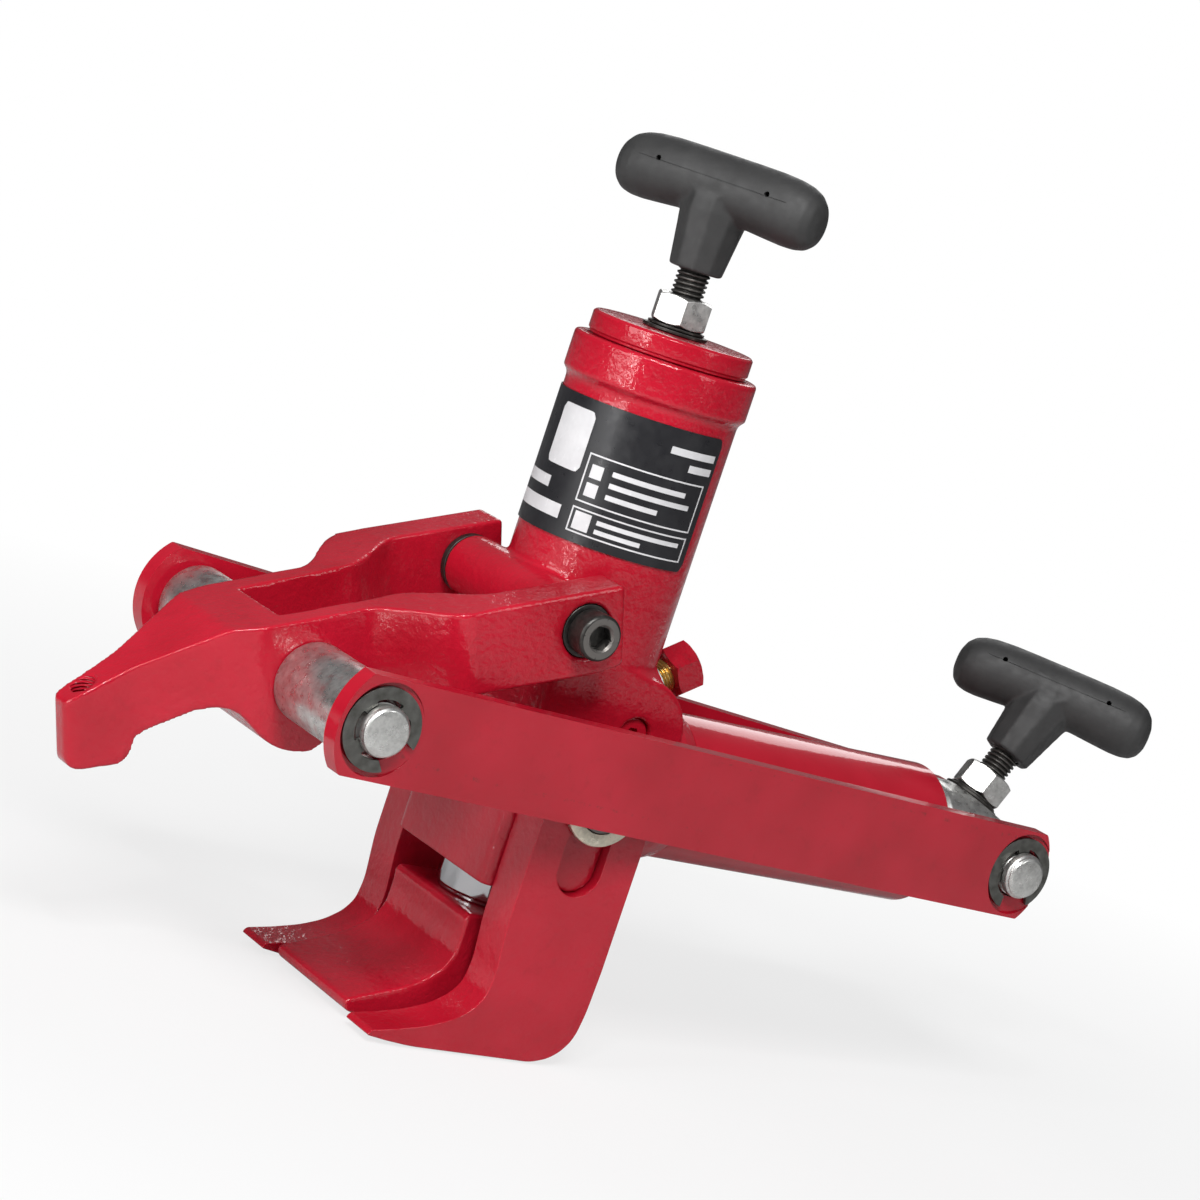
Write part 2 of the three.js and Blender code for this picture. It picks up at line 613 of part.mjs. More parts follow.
function clawArm() {
  const solid = prismY(clawOutline(), -60, 60).intersect(prismZ(clawPlanOutline(), -60, 30));
  return toMesh('claw_arm', 'red', cut(solid, [
    prismZ(clawSlotOutline(), -60, 30),
    rodY(PIN_HOLE_R, -60, 60, FRONT_PIN_U, FRONT_PIN_W),
    rodY(BUSH_R + GAP, -60, 60, 0, 0),
    rodZ(4.3, -22, 10, -165.3, 0, SMALL_CIRCLE),
  ]));
}

function frontPin() {
  const profile = grooveProfile(FRONT_PIN_HALF, FRONT_CLIP_Y, 8.6);
  return toMesh('front_pin', 'zinc', turnedY(profile, FRONT_PIN_U, FRONT_PIN_W));
}

function frontSleeve(label, side) {
  const profile = ring(PIN_HOLE_R, SLEEVE_R, 25.4, 66);
  return toMesh(`front_sleeve_${label}`, 'zinc', turnedY(profile, FRONT_PIN_U, FRONT_PIN_W, side));
}

function frontClip(label, side) {
  const clip = eClip(FRONT_CLIP_Y, side, FRONT_PIN_U, FRONT_PIN_W, -65);
  return toMesh(`front_clip_${label}`, 'springSteel', clip);
}

function clawPivotBush(label, side) {
  const bore = PIVOT_SCREW_R + GAP;
  const flangeY = CLAW_BOSS_HALF_Y + 0.4;
  const flangeR = 11.2;
  const profile = [
    [bore, flangeY], [flangeR, flangeY], [flangeR, ARM_INNER_Y - GAP], [BUSH_R, ARM_INNER_Y - GAP],
    [BUSH_R, 49.6], [bore, 49.6], [bore, flangeY],
  ];
  return toMesh(`claw_pivot_bush_${label}`, 'blackOxide', turnedY(profile, 0, 0, side));
}

// ---- Side links, built in a frame at the rear pin with x along the line of the two pins ----

function linkSide(length) {
  const reach = length + LINK_FRONT_OVERHANG;
  const half = THREE.MathUtils.radToDeg(Math.asin(LINK_HALF_HEIGHT / LINK_END_R));
  return [
    ...arcPoints(LINK_REAR_OVERHANG - LINK_END_R, 0, LINK_END_R, -half, half, 6),
    ...arcPoints(LINK_END_R - reach, 0, LINK_END_R, 180 - half, 180 + half, 6),
  ];
}

function sideLink(label, side) {
  const length = Math.hypot(REAR_PIN_X - FRONT_PIN_X, FRONT_PIN_Z);
  const outerAt = (x) => LINK_REAR_OUTER_Y - LINK_SPLAY * x;
  const plan = [
    [-length - 30, outerAt(-length - 30)], [30, outerAt(30)],
    [30, outerAt(30) - LINK_THICK_Y], [-length - 30, outerAt(-length - 30) - LINK_THICK_Y],
  ].map(([x, y]) => [x, side * y]);
  const bar = prismZ(plan, -40, 40).intersect(prismY(linkSide(length), -120, 120));
  return toMesh(`link_${label}`, 'red', cut(bar, [
    rodY(11, side * 50, side * 100, -length, 0),
    rodY(9.9, side * 10, side * 60, 0, 0),
    rodY(SPOT_FACE_R, side * (FRONT_CLIP_Y - GAP), side * 100, -length, 0),
    rodY(SPOT_FACE_R, side * (REAR_CLIP_Y - GAP), side * 60, 0, 0),
  ]));
}

// ---- Foot plates ----

function footOutline() {
  return [
    [-22.4, FOOT_TOP_Z], [-22.4, -50], [-21.4, -60], [-20.6, -68], [-21.7, -76.3], [-25.4, -81.3],
    [-32.2, -85.9], [-41.5, -89.3], [-53.1, -91.8], [-63, -93.4], [-64.3, -95.5], [-55.9, -96.6],
    [-45.5, SOLE_Z], [5.9, SOLE_Z], [12.7, -95.4], [16.9, -92.5], [20.2, -88.3], [21.7, -84.3],
    [22.9, -76.4], [23.5, -60], [23.5, FOOT_TOP_Z],
  ];
}

function footPlate(label, side) {
  const y = [side * FOOT_INNER_Y, side * FOOT_OUTER_Y].sort((a, b) => a - b);
  const slot = prismY(keyOutline(GAP, 10), -60, 60);
  return toMesh(`foot_plate_${label}`, 'red', cut(prismY(footOutline(), ...y), [slot]));
}

// ---- T-handles, built on their stud axis ----

function handleNut(name) {
  const corner = NUT_ACROSS_FLATS / Math.sqrt(3);
  const face = NUT_ACROSS_FLATS / 2 - 0.2;
  const hex = toManifold(new THREE.CylinderGeometry(corner, corner, 2 * NUT_HALF, 6).rotateX(Math.PI / 2));
  const chamfer = turnedZ([
    [0, -NUT_HALF], [face, -NUT_HALF], [corner + 0.1, -NUT_HALF + 0.9],
    [corner + 0.1, NUT_HALF - 0.9], [face, NUT_HALF], [0, NUT_HALF],
  ], CIRCLE);
  return toMesh(name, 'zinc', cut(hex.intersect(chamfer), [rodZ(STUD_R + GAP, -9, 9, 0, 0, SMALL_CIRCLE)]));
}

function handleWasher(name, radius, z0, z1) {
  return toMesh(name, 'blackOxide', turnedZ(ring(STUD_R + GAP, radius, z0, z1), CIRCLE));
}

function handleStud(name, bottom) {
  return toMesh(name, 'blackOxide', turnedZ([
    [0, bottom], [STUD_R - 1, bottom], [STUD_R, bottom + 1], [STUD_R, 29], [STUD_R - 1, 30], [0, 30],
  ], SMALL_CIRCLE));
}

// leanDeg raises the +x end of the bar from square to the stud
function handleGrip(name, leanDeg) {
  const end = -GRIP_HALF_LENGTH;
  const halfBar = [
    [0, end], [5.5, end + 0.6], [8.8, end + 2.6], [11, end + 6], [11.9, end + 11], [12, -20], [11.5, -10],
  ];
  const bar = turnedX([...halfBar, ...halfBar.map(([r, x]) => [r, -x]).reverse()], 16);
  const stem = toManifold(
    new THREE.CylinderGeometry(13, 10.2, 22, 12).rotateX(Math.PI / 2).translate(0, 0, GRIP_BASE + 11),
  );
  const neck = rodZ(11, GRIP_BASE + 20, GRIP_BAR_Z, 0, 0, CIRCLE);
  const leaned = (solid) => solid.rotate([0, -leanDeg, 0]).translate([0, 0, GRIP_BAR_Z]);
  const pinHoles = [-GRIP_PIN_X, GRIP_PIN_X].map((x) => leaned(rodY(0.9, -16, -8, x, 2.5, 8)));
  const studHole = rodZ(STUD_R + GAP, GRIP_BASE - 1, 31, 0, 0, SMALL_CIRCLE);
  const body = union([leaned(bar), stem, neck]);
  return toMesh(name, 'grip', cut(body, [studHole, ...pinHoles]));
}

function handle(prefix, studBottom, swivelDeg, leanDeg) {
  const fixed = [
    handleNut(`${prefix}_handle_nut`),
    handleWasher(`${prefix}_handle_washer_lower`, 12, -7.9, -6.8),
    handleWasher(`${prefix}_handle_washer_upper`, 10.5, -6.5, -5.7),
  ];
  const turning = new THREE.Group();
  turning.rotation.z = THREE.MathUtils.degToRad(swivelDeg);
  turning.add(handleStud(`${prefix}_handle_stud`, studBottom), handleGrip(`${prefix}_handle_grip`, leanDeg));
  const whole = new THREE.Group();
  whole.add(...fixed, turning);
  return whole;
}

function assembly() {
  const tool = new THREE.Group();
  tool.name = 'bead_breaker';
  tool.add(
    bodyCasting(), pushCylinderCap(), pushCapSeal(), pushGlandBush(), pushRodWiper(), clampCylinderTube(),
    clampGlandRing(), clampRodWiper(), inletAdapter(), inletSealWasher(), labelPlate(),
    pushRamRod(), pushPistonSeal(), pushReturnSpring(), pushShoe(), pushShoeScrew(),
    clampRamRod(), clampPistonSeal(), clampCrosshead(), crossheadGrubScrew(), rearPin(),
  );

  const claw = new THREE.Group();
  claw.position.set(CLAW_PIVOT_X, 0, CLAW_PIVOT_Z);
  claw.rotation.y = -CLAW_REST_ANGLE;
  claw.add(clawArm(), frontPin());
  tool.add(claw);

  const links = new THREE.Group();
  links.position.set(REAR_PIN_X, 0, 0);
  links.rotation.y = Math.atan2(FRONT_PIN_Z, REAR_PIN_X - FRONT_PIN_X);
  tool.add(links);

  for (const [label, side] of SIDES) {
    tool.add(
      bossPlug(label, side), footPlate(label, side), footWasher(label, side), footScrew(label, side),
      clawPivotScrew(label, side), rearClip(label, side),
    );
    claw.add(frontSleeve(label, side), frontClip(label, side), clawPivotBush(label, side));
    links.add(sideLink(label, side));
  }

  const topHandle = handle('top', -22, TOP_SWIVEL_DEG, 0);
  topHandle.position.z = TOP_HANDLE_Z;
  const rearHandle = handle('rear', -12.6, REAR_SWIVEL_DEG, REAR_GRIP_LEAN_DEG);
  rearHandle.position.set(REAR_HANDLE_X, 0, REAR_HANDLE_Z);
  rearHandle.rotation.y = REAR_HANDLE_TILT;
  tool.add(topHandle, rearHandle);
  tool.position.set(-MIDDLE_X, 0, -SOLE_Z);
  return tool;
}

export default assembly();
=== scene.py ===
"""Looks of the hydraulic bead breaker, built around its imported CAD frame.

Shapes are written in millimetres from the point where the two cylinder axes cross. Each finished piece is
shifted by TOOL_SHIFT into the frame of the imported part, whose origin lies on the sole plane.
+Z runs up the push ram, +X rearwards along the clamp ram, and the near side is -Y.
"""

import math

import bmesh
import bpy
from mathutils import Matrix, Vector


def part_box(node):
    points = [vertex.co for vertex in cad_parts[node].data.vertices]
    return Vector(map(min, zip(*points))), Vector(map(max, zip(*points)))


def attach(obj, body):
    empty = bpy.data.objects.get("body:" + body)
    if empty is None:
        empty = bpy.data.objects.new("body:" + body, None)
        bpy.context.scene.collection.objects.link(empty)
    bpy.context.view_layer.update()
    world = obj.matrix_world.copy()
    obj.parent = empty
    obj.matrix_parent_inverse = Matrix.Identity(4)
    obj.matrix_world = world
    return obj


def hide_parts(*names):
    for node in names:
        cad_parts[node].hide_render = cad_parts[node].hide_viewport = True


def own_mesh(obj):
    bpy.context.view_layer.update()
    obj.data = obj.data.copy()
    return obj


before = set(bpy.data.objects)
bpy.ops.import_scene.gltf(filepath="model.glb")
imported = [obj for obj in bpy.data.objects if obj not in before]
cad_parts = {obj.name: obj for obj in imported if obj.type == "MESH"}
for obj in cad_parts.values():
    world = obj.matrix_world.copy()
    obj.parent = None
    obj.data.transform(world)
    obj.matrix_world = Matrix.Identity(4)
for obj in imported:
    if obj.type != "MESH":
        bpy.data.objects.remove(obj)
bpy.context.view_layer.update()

MM = 0.001
TOOL_SHIFT = Matrix.Translation((-36.4, 0, 97.5))
SIDES = (("near", -1), ("far", 1))
CAST_VOXEL = 0.75
GRIP_VOXEL = 0.55

# Body: barrel, block, bosses and foot keys
BARREL_R = 32
BLOCK_FRONT_X = -26.3
BLOCK_REAR_X = 26
BLOCK_HALF_Y = 32
BLOCK_CORNER_R = 4.5
SIDE_BOSS_AT = (16.5, 0, 22.3)
CLAW_PIVOT_AT = (-30.5, 0, 58.9)
CLAW_REST_ANGLE = math.radians(-20)
INLET_TILT = math.radians(90 - 32.6)
INLET_FRAME = Matrix.Translation(SIDE_BOSS_AT) @ Matrix.Rotation(INLET_TILT, 4, "Y")
INLET_PORT_R = 6.3
INLET_BORE_R = 3.6
KEY_R = 9
KEY_LENGTH = 25.7
KEY_OUTER_Y = 45.3
FOOT_INNER_Y = 32.5
FOOT_OUTER_Y = 49

# Label, wrapped round the barrel, with angles in degrees from +X
LABEL_R0 = 32.25
LABEL_R1 = 32.6
INK_R0 = 32.5
INK_R1 = 32.68
FRAME_A0 = -152
FRAME_A1 = -70

# Push ram
SHOE_TOP_Z = -53.5
SHOE_HALF_Y = 26.5
SPRING_MEAN_R = 22.55
SPRING_WIRE_R = 1.8
SPRING_TURNS = 7

# Pins and E-clips
PIN_R = 9
PIN_HOLE_R = 9.3
PIN_GROOVE_R = 7.2
REAR_PIN_X = 212
REAR_PIN_HALF = 41
REAR_CLIP_Y = 34.5
FRONT_PIN = (-93.5, -10.5)
FRONT_PIN_HALF = 80
FRONT_CLIP_Y = 74.5
CLIP_R = 14.7
CLIP_INNER_R = 10.4
CLIP_PRONG_R = 7.6
CLIP_THICK = 1.5
CLIP_MOUTH_DEG = 26
CLIP_PRONG_DEG = 15
CLIP_LEAD_DEG = 6

# Claw and side links
CLAW_FRAME = Matrix.Translation(CLAW_PIVOT_AT) @ Matrix.Rotation(CLAW_REST_ANGLE, 4, "Y")
CLAW_TIP_HOLE_X = -165.3
LINK_RUN = 326.8
LINK_DROP = 17
LINK_LENGTH = math.hypot(LINK_RUN, LINK_DROP)
LINK_FRAME = Matrix.Translation((REAR_PIN_X, 0, 0)) @ Matrix.Rotation(math.atan2(LINK_DROP, LINK_RUN), 4, "Y")
LINK_END_R = 25
LINK_HALF_HEIGHT = 17.7
LINK_FRONT_OVERHANG = 18.2
LINK_REAR_OVERHANG = 14.7
LINK_REAR_OUTER_Y = 36
LINK_SPLAY = 0.1224
LINK_THICK_Y = 7.556
SPOT_FACE_R = 16.5

# T-handles
TOP_HANDLE_FRAME = Matrix.Translation((0, 0, 170))
REAR_HANDLE_FRAME = Matrix.Translation((211, 0, 24.7)) @ Matrix.Rotation(math.radians(26), 4, "Y")
TOP_SWIVEL = math.radians(-60)
REAR_SWIVEL = math.radians(-50)
REAR_GRIP_LEAN = math.radians(14)
TOP_STUD_BOTTOM = -22
REAR_STUD_BOTTOM = -12.6
STUD_R = 6
STUD_HOLE_R = 6.3
NUT_ACROSS_FLATS = 19
NUT_HALF = 5.4
GRIP_BASE = 15
GRIP_BAR_Z = 46.4
GRIP_HALF_LENGTH = 41
GRIP_DROOP = 2.4
GRIP_PIN_X = 22

# Studio, in metres
LIGHT_TARGET = (-0.01, 0, 0.15)
FLOOR_GLOW = 0.75
FLOOR_REACH = 8
FLOOR_LEVEL = -0.0008
CAMERA_PLACE = (-0.7768, -1.034, 0.3324)
CAMERA_RIGHT = (0.7938, -0.5208, 0.314)
CAMERA_FORWARD = (0.5801, 0.8034, -0.1342)
CAMERA_LENS = 107.25
CAMERA_SENSOR = 36


# ---------------------------------------------------------------- mesh helpers

def make(name, verts, faces):
    """A closed mesh object from millimetre points, with its normals facing out."""
    mesh = bpy.data.meshes.new(name)
    mesh.from_pydata([Vector(v) * MM for v in verts], [], faces)
    work = bmesh.new()
    work.from_mesh(mesh)
    bmesh.ops.remove_doubles(work, verts=work.verts, dist=1e-7)
    bmesh.ops.recalc_face_normals(work, faces=work.faces)
    work.to_mesh(mesh)
    work.free()
    obj = bpy.data.objects.new(name, mesh)
    bpy.context.scene.collection.objects.link(obj)
    return obj


def apply_modifiers(obj):
    bpy.context.view_layer.update()
    graph = bpy.context.evaluated_depsgraph_get()
    mesh = bpy.data.meshes.new_from_object(obj.evaluated_get(graph))
    obj.modifiers.clear()
    old = obj.data
    obj.data = mesh
    bpy.data.meshes.remove(old)
    return obj


def combine(target, tools, operation):
    """Boolean of target with each tool; the tools are used up."""
    for tool in tools:
        mod = target.modifiers.new("bool", "BOOLEAN")
        mod.operation = operation
        mod.solver = "MANIFOLD"
        mod.object = tool
    apply_modifiers(target)
    for tool in tools:
        bpy.data.objects.remove(tool)
    return target


def union(target, *tools):
    return combine(target, tools, "UNION")


def cut(target, *tools):
    return combine(target, tools, "DIFFERENCE")


def common(target, *tools):
    return combine(target, tools, "INTERSECT")


def moved(obj, matrix):
    """Moves the mesh by a matrix given in millimetres."""
    scaled = matrix.copy()
    scaled.translation = matrix.translation * MM
    obj.data.transform(scaled)
    return obj


def voxelled(obj, size, smoothing, factor=0.5):
    """Re-meshes a casting so that every inside and outside corner gets a small radius."""
    mod = obj.modifiers.new("remesh", "REMESH")
    mod.mode = "VOXEL"
    mod.voxel_size = size * MM
    mod = obj.modifiers.new("smooth", "SMOOTH")
    mod.factor = factor
    mod.iterations = smoothing
    apply_modifiers(obj)
    return shaded(obj, 180)


def shaded(obj, sharp_deg=38):
    for face in obj.data.polygons:
        face.use_smooth = True
    if sharp_deg < 180:
        obj.data.set_sharp_from_angle(angle=math.radians(sharp_deg))
    return obj


def bevelled(obj, width, segments=3, angle=35):
    mod = obj.modifiers.new("bevel", "BEVEL")
    mod.width = width * MM
    mod.segments = segments
    mod.limit_method = "ANGLE"
    mod.angle_limit = math.radians(angle)
    mod.use_clamp_overlap = True
    mod.harden_normals = False
    apply_modifiers(obj)
    shaded(obj, 50)
    mod = obj.modifiers.new("normals", "WEIGHTED_NORMAL")
    mod.keep_sharp = True
    return apply_modifiers(obj)


def softened(points, radius, closed=True, steps=3, min_turn=12):
    """Replaces the corners of a polyline with short arcs."""
    result = []
    count = len(points)
    for i, point in enumerate(points):
        if not closed and i in (0, count - 1):
            result.append(point)
            continue
        here = Vector(point)
        back = Vector(points[i - 1]) - here
        ahead = Vector(points[(i + 1) % count]) - here
        if back.length < 1e-6 or ahead.length < 1e-6:
            continue
        turn = 180 - math.degrees(back.angle(ahead))
        if turn < min_turn:
            result.append(point)
            continue
        reach = min(radius, 0.42 * back.length, 0.42 * ahead.length)
        start = here + back.normalized() * reach
        end = here + ahead.normalized() * reach
        for k in range(steps + 1):
            t = k / steps
            spot = start * (1 - t) ** 2 + here * 2 * t * (1 - t) + end * t * t
            result.append((spot.x, spot.y))
    return result


def turned(name, profile, axis="Z", at=(0, 0, 0), side=1, segs=96, soft=0.0):
    """A lathe-turned piece. The profile holds (radius, height) pairs, on the axis at both ends or closed."""
    closed = profile[0] == profile[-1]
    points = list(profile[:-1] if closed else profile)
    if soft:
        points = softened(points, soft, closed)
    verts, rings = [], []

    def place(x, y, h):
        local = {"Z": (x, y, h), "X": (h, x, y), "Y": (x, side * h, y)}[axis]
        verts.append(tuple(a + b for a, b in zip(local, at)))

    for radius, height in points:
        start = len(verts)
        if radius < 1e-6:
            place(0, 0, height)
        else:
            for i in range(segs):
                angle = 2 * math.pi * i / segs
                place(radius * math.cos(angle), radius * math.sin(angle), height)
        rings.append(list(range(start, len(verts))))
    pairs = list(zip(rings, rings[1:])) + ([(rings[-1], rings[0])] if closed else [])
    faces = []
    for a, b in pairs:
        for k in range(segs):
            m = (k + 1) % segs
            if len(a) == 1 and len(b) == 1:
                break
            if len(a) == 1:
                faces.append((a[0], b[m], b[k]))
            elif len(b) == 1:
                faces.append((a[k], a[m], b[0]))
            else:
                faces.append((a[k], a[m], b[m], b[k]))
    return shaded(make(name, verts, faces), 30)


def rod(name, radius, h0, h1, axis="Z", at=(0, 0, 0), segs=96):
    return turned(name, [(0, min(h0, h1)), (radius, min(h0, h1)), (radius, max(h0, h1)), (0, max(h0, h1))],
                  axis, at, segs=segs)


def prism(name, outline, lo, hi, axis="Z"):
    """An outline drawn in X and Y (axis Z) or in X and Z (axis Y), extruded from lo to hi."""
    def place(p, h):
        return (p[0], p[1], h) if axis == "Z" else (p[0], h, p[1])
    count = len(outline)
    verts = [place(p, lo) for p in outline] + [place(p, hi) for p in outline]
    faces = [tuple(range(count))[::-1], tuple(range(count, 2 * count))]
    faces += [(i, (i + 1) % count, count + (i + 1) % count, count + i) for i in range(count)]
    return make(name, verts, faces)


def slab(name, x0, x1, y0, y1, z0, z1):
    return prism(name, [(x0, y0), (x1, y0), (x1, y1), (x0, y1)], z0, z1)


def ring(inner, outer, h0, h1):
    return [(inner, h0), (outer, h0), (outer, h1), (inner, h1), (inner, h0)]


def arc(cx, cy, radius, start, end, steps):
    result = []
    for i in range(steps + 1):
        angle = math.radians(start + (end - start) * i / steps)
        result.append((cx + radius * math.cos(angle), cy + radius * math.sin(angle)))
    return result


def s_bend(u0, v0, u1, v1, steps=16):
    result = []
    for i in range(steps + 1):
        t = i / steps
        result.append((u0 + (u1 - u0) * t, v0 + (v1 - v0) * t * t * (3 - 2 * t)))
    return result


def hex_rod(name, across_flats, h0, h1, axis="Z", at=(0, 0, 0)):
    return rod(name, across_flats / math.sqrt(3), h0, h1, axis, at, segs=6)


def threaded(name, radius, pitch, depth, z0, z1, chamfer=1.0):
    """A screw thread about Z, as one surface whose radius follows the helix."""
    segs, per_pitch = 48, 8
    rows = int((z1 - z0) / pitch * per_pitch)
    verts = [(0, 0, z0)]
    for j in range(rows + 1):
        z = z0 + (z1 - z0) * j / rows
        limit = radius - depth + min(depth, max(0.0, min(z - z0, z1 - z) * depth / chamfer))
        for i in range(segs):
            phase = (z / pitch - i / segs) % 1.0
            tooth = min(1.0, max(0.0, 1.9 * abs(2 * phase - 1) - 0.3))
            r = min(limit, radius - depth * (1 - tooth))
            angle = 2 * math.pi * i / segs
            verts.append((r * math.cos(angle), r * math.sin(angle), z))
    verts.append((0, 0, z1))
    faces = []
    for i in range(segs):
        m = (i + 1) % segs
        faces.append((0, 1 + m, 1 + i))
        last = 1 + rows * segs
        faces.append((last + i, last + m, len(verts) - 1))
        for j in range(rows):
            a = 1 + j * segs
            faces.append((a + i, a + m, a + segs + m, a + segs + i))
    return shaded(make(name, verts, faces), 60)


# ---------------------------------------------------------------- materials

class Nodes:
    """Small builder for a procedural node material."""

    def __init__(self, name):
        self.material = bpy.data.materials.new(name)
        self.material.use_nodes = True
        self.tree = self.material.node_tree
        self.shader = self.tree.nodes["Principled BSDF"]
        self.coords = self.add("ShaderNodeTexCoord").outputs["Object"]

    def add(self, kind, **values):
        node = self.tree.nodes.new(kind)
        for key, value in values.items():
            setattr(node, key, value)
        return node

    def link(self, source, target):
        self.tree.links.new(source, target)

    def noise(self, scale, detail=3.0, roughness=0.5, stretch=(1, 1, 1)):
        mapping = self.add("ShaderNodeMapping")
        mapping.inputs["Scale"].default_value = stretch
        self.link(self.coords, mapping.inputs["Vector"])
        node = self.add("ShaderNodeTexNoise")
        node.inputs["Scale"].default_value = scale
        node.inputs["Detail"].default_value = detail
        node.inputs["Roughness"].default_value = roughness
        self.link(mapping.outputs["Vector"], node.inputs["Vector"])
        return node.outputs["Fac"]

    def ramp(self, source, stops):
        node = self.add("ShaderNodeValToRGB")
        ramp = node.color_ramp
        while len(ramp.elements) < len(stops):
            ramp.elements.new(0.5)
        for element, (place, colour) in zip(ramp.elements, stops):
            element.position = place
            element.color = (*colour, 1) if isinstance(colour, tuple) else (colour, colour, colour, 1)
        self.link(source, node.inputs["Fac"])
        return node.outputs["Color"]

    def mix(self, factor, a, b):
        node = self.add("ShaderNodeMix", data_type="RGBA")
        for socket, value in ((node.inputs[0], factor), (node.inputs[6], a), (node.inputs[7], b)):
            if isinstance(value, bpy.types.NodeSocket):
                self.link(value, socket)
            elif isinstance(value, tuple):
                socket.default_value = (*value, 1)
            else:
                socket.default_value = value
        return node.outputs[2]

    def maths(self, operation, a, b=0.0):
        node = self.add("ShaderNodeMath", operation=operation)
        for socket, value in ((node.inputs[0], a), (node.inputs[1], b)):
            if isinstance(value, bpy.types.NodeSocket):
                self.link(value, socket)
            else:
                socket.default_value = value
        return node.outputs[0]

    def bump(self, *layers):
        """Layers of (height, strength, distance in metres), the last one on top."""
        normal = None
        for height, strength, distance in layers:
            node = self.add("ShaderNodeBump")
            node.inputs["Strength"].default_value = strength
            node.inputs["Distance"].default_value = distance
            self.link(height, node.inputs["Height"])
            if normal is not None:
                self.link(normal, node.inputs["Normal"])
            normal = node.outputs["Normal"]
        self.link(normal, self.shader.inputs["Normal"])
        return normal

    def edge(self, low, high):
        """White on worn outside edges."""
        geometry = self.add("ShaderNodeNewGeometry")
        return self.ramp(geometry.outputs["Pointiness"], [(low, 0.0), (high, 1.0)])

    def put(self, name, value):
        socket = self.shader.inputs[name]
        if isinstance(value, bpy.types.NodeSocket):
            self.link(value, socket)
        elif isinstance(value, tuple):
            socket.default_value = (*value, 1)
        else:
            socket.default_value = value


def red_paint(name, coarse, fine, waviness, mottle=1.0):
    """Gloss enamel. Coarse and fine orange peel, slow waves, and mottle for uneven gloss."""
    n = Nodes(name)
    drift = n.noise(28, 2)
    base = n.ramp(drift, [(0.3, (0.33, 0.004, 0.014)), (0.7, (0.42, 0.007, 0.022))])
    grime = n.ramp(n.noise(160, 6, 0.65), [(0.56, 0.0), (0.78, 0.35)])
    base = n.mix(grime, base, (0.20, 0.003, 0.009))
    worn = n.edge(0.56, 0.64)
    chips = n.maths("MULTIPLY", worn, n.ramp(n.noise(420, 5, 0.7), [(0.55, 0.0), (0.66, 0.55)]))
    base = n.mix(chips, base, (0.10, 0.012, 0.014))
    n.put("Base Color", base)
    n.put("Roughness", n.ramp(n.noise(90, 4), [
        (0.25, 0.40 - 0.06 * mottle), (0.8, 0.40 + 0.08 * mottle)]))
    n.put("Coat Weight", 0.8)
    n.put("Coat Roughness", n.ramp(n.noise(60, 3), [
        (0.3, 0.06 - 0.03 * mottle), (0.7, 0.06 + 0.03 * mottle)]))
    n.put("Specular IOR Level", 0.05)
    normal = n.bump(
        (n.noise(55, 2), waviness, 0.0012),
        (n.noise(360, 3), coarse, 0.0008),
        (n.noise(900, 3), fine, 0.0003),
    )
    n.link(normal, n.shader.inputs["Coat Normal"])
    return n.material


def zinc(name, tint=(0.62, 0.62, 0.60), overspray=0.0):
    n = Nodes(name)
    cloud = n.ramp(n.noise(240, 5, 0.65), [(0.3, tuple(0.62 * v for v in tint)), (0.65, tint)])
    spangle = n.ramp(n.noise(900, 2), [(0.35, 0.0), (0.7, 0.35)])
    base = n.mix(spangle, cloud, tuple(min(1, 1.25 * v) for v in tint))
    if overspray:
        mist = n.ramp(n.noise(140, 5, 0.7), [(0.52, 0.0), (0.72, overspray)])
        base = n.mix(mist, base, (0.40, 0.02, 0.03))
    n.put("Base Color", base)
    n.put("Metallic", 0.9)
    n.put("Roughness", n.ramp(n.noise(330, 4), [(0.3, 0.22), (0.75, 0.46)]))
    n.bump((n.noise(160, 4), 0.25, 0.0002), (n.noise(1500, 2), 0.2, 0.00005))
    return n.material


def chrome(name):
    n = Nodes(name)
    n.put("Base Color", n.ramp(n.noise(40, 2), [(0.3, (0.40, 0.41, 0.42)), (0.7, (0.50, 0.51, 0.52))]))
    n.put("Metallic", 1.0)
    n.put("Roughness", n.ramp(n.noise(500, 3, 0.5, (1, 1, 14)), [(0.3, 0.05), (0.8, 0.16)]))
    n.bump((n.noise(700, 2, 0.5, (1, 1, 20)), 0.06, 0.00005),)
    return n.material


def black_oxide(name, value=0.028):
    n = Nodes(name)
    n.put("Base Color", n.mix(n.edge(0.53, 0.60), n.ramp(n.noise(500, 4), [
        (0.3, (value, value * 0.96, value * 0.9)),
        (0.7, (value * 2, value * 1.9, value * 1.75))]), (0.16, 0.15, 0.14)))
    n.put("Metallic", 0.75)
    n.put("Roughness", n.ramp(n.noise(800, 3), [(0.3, 0.34), (0.7, 0.55)]))
    n.bump((n.noise(1200, 3), 0.25, 0.00006),)
    return n.material


def bare_metal(name, dark, light, rough):
    n = Nodes(name)
    n.put("Base Color", n.ramp(n.noise(300, 4), [(0.3, dark), (0.7, light)]))
    n.put("Metallic", 0.95)
    n.put("Roughness", n.ramp(n.noise(500, 3), [(0.3, rough), (0.7, rough + 0.18)]))
    n.bump((n.noise(900, 3), 0.2, 0.00008),)
    return n.material


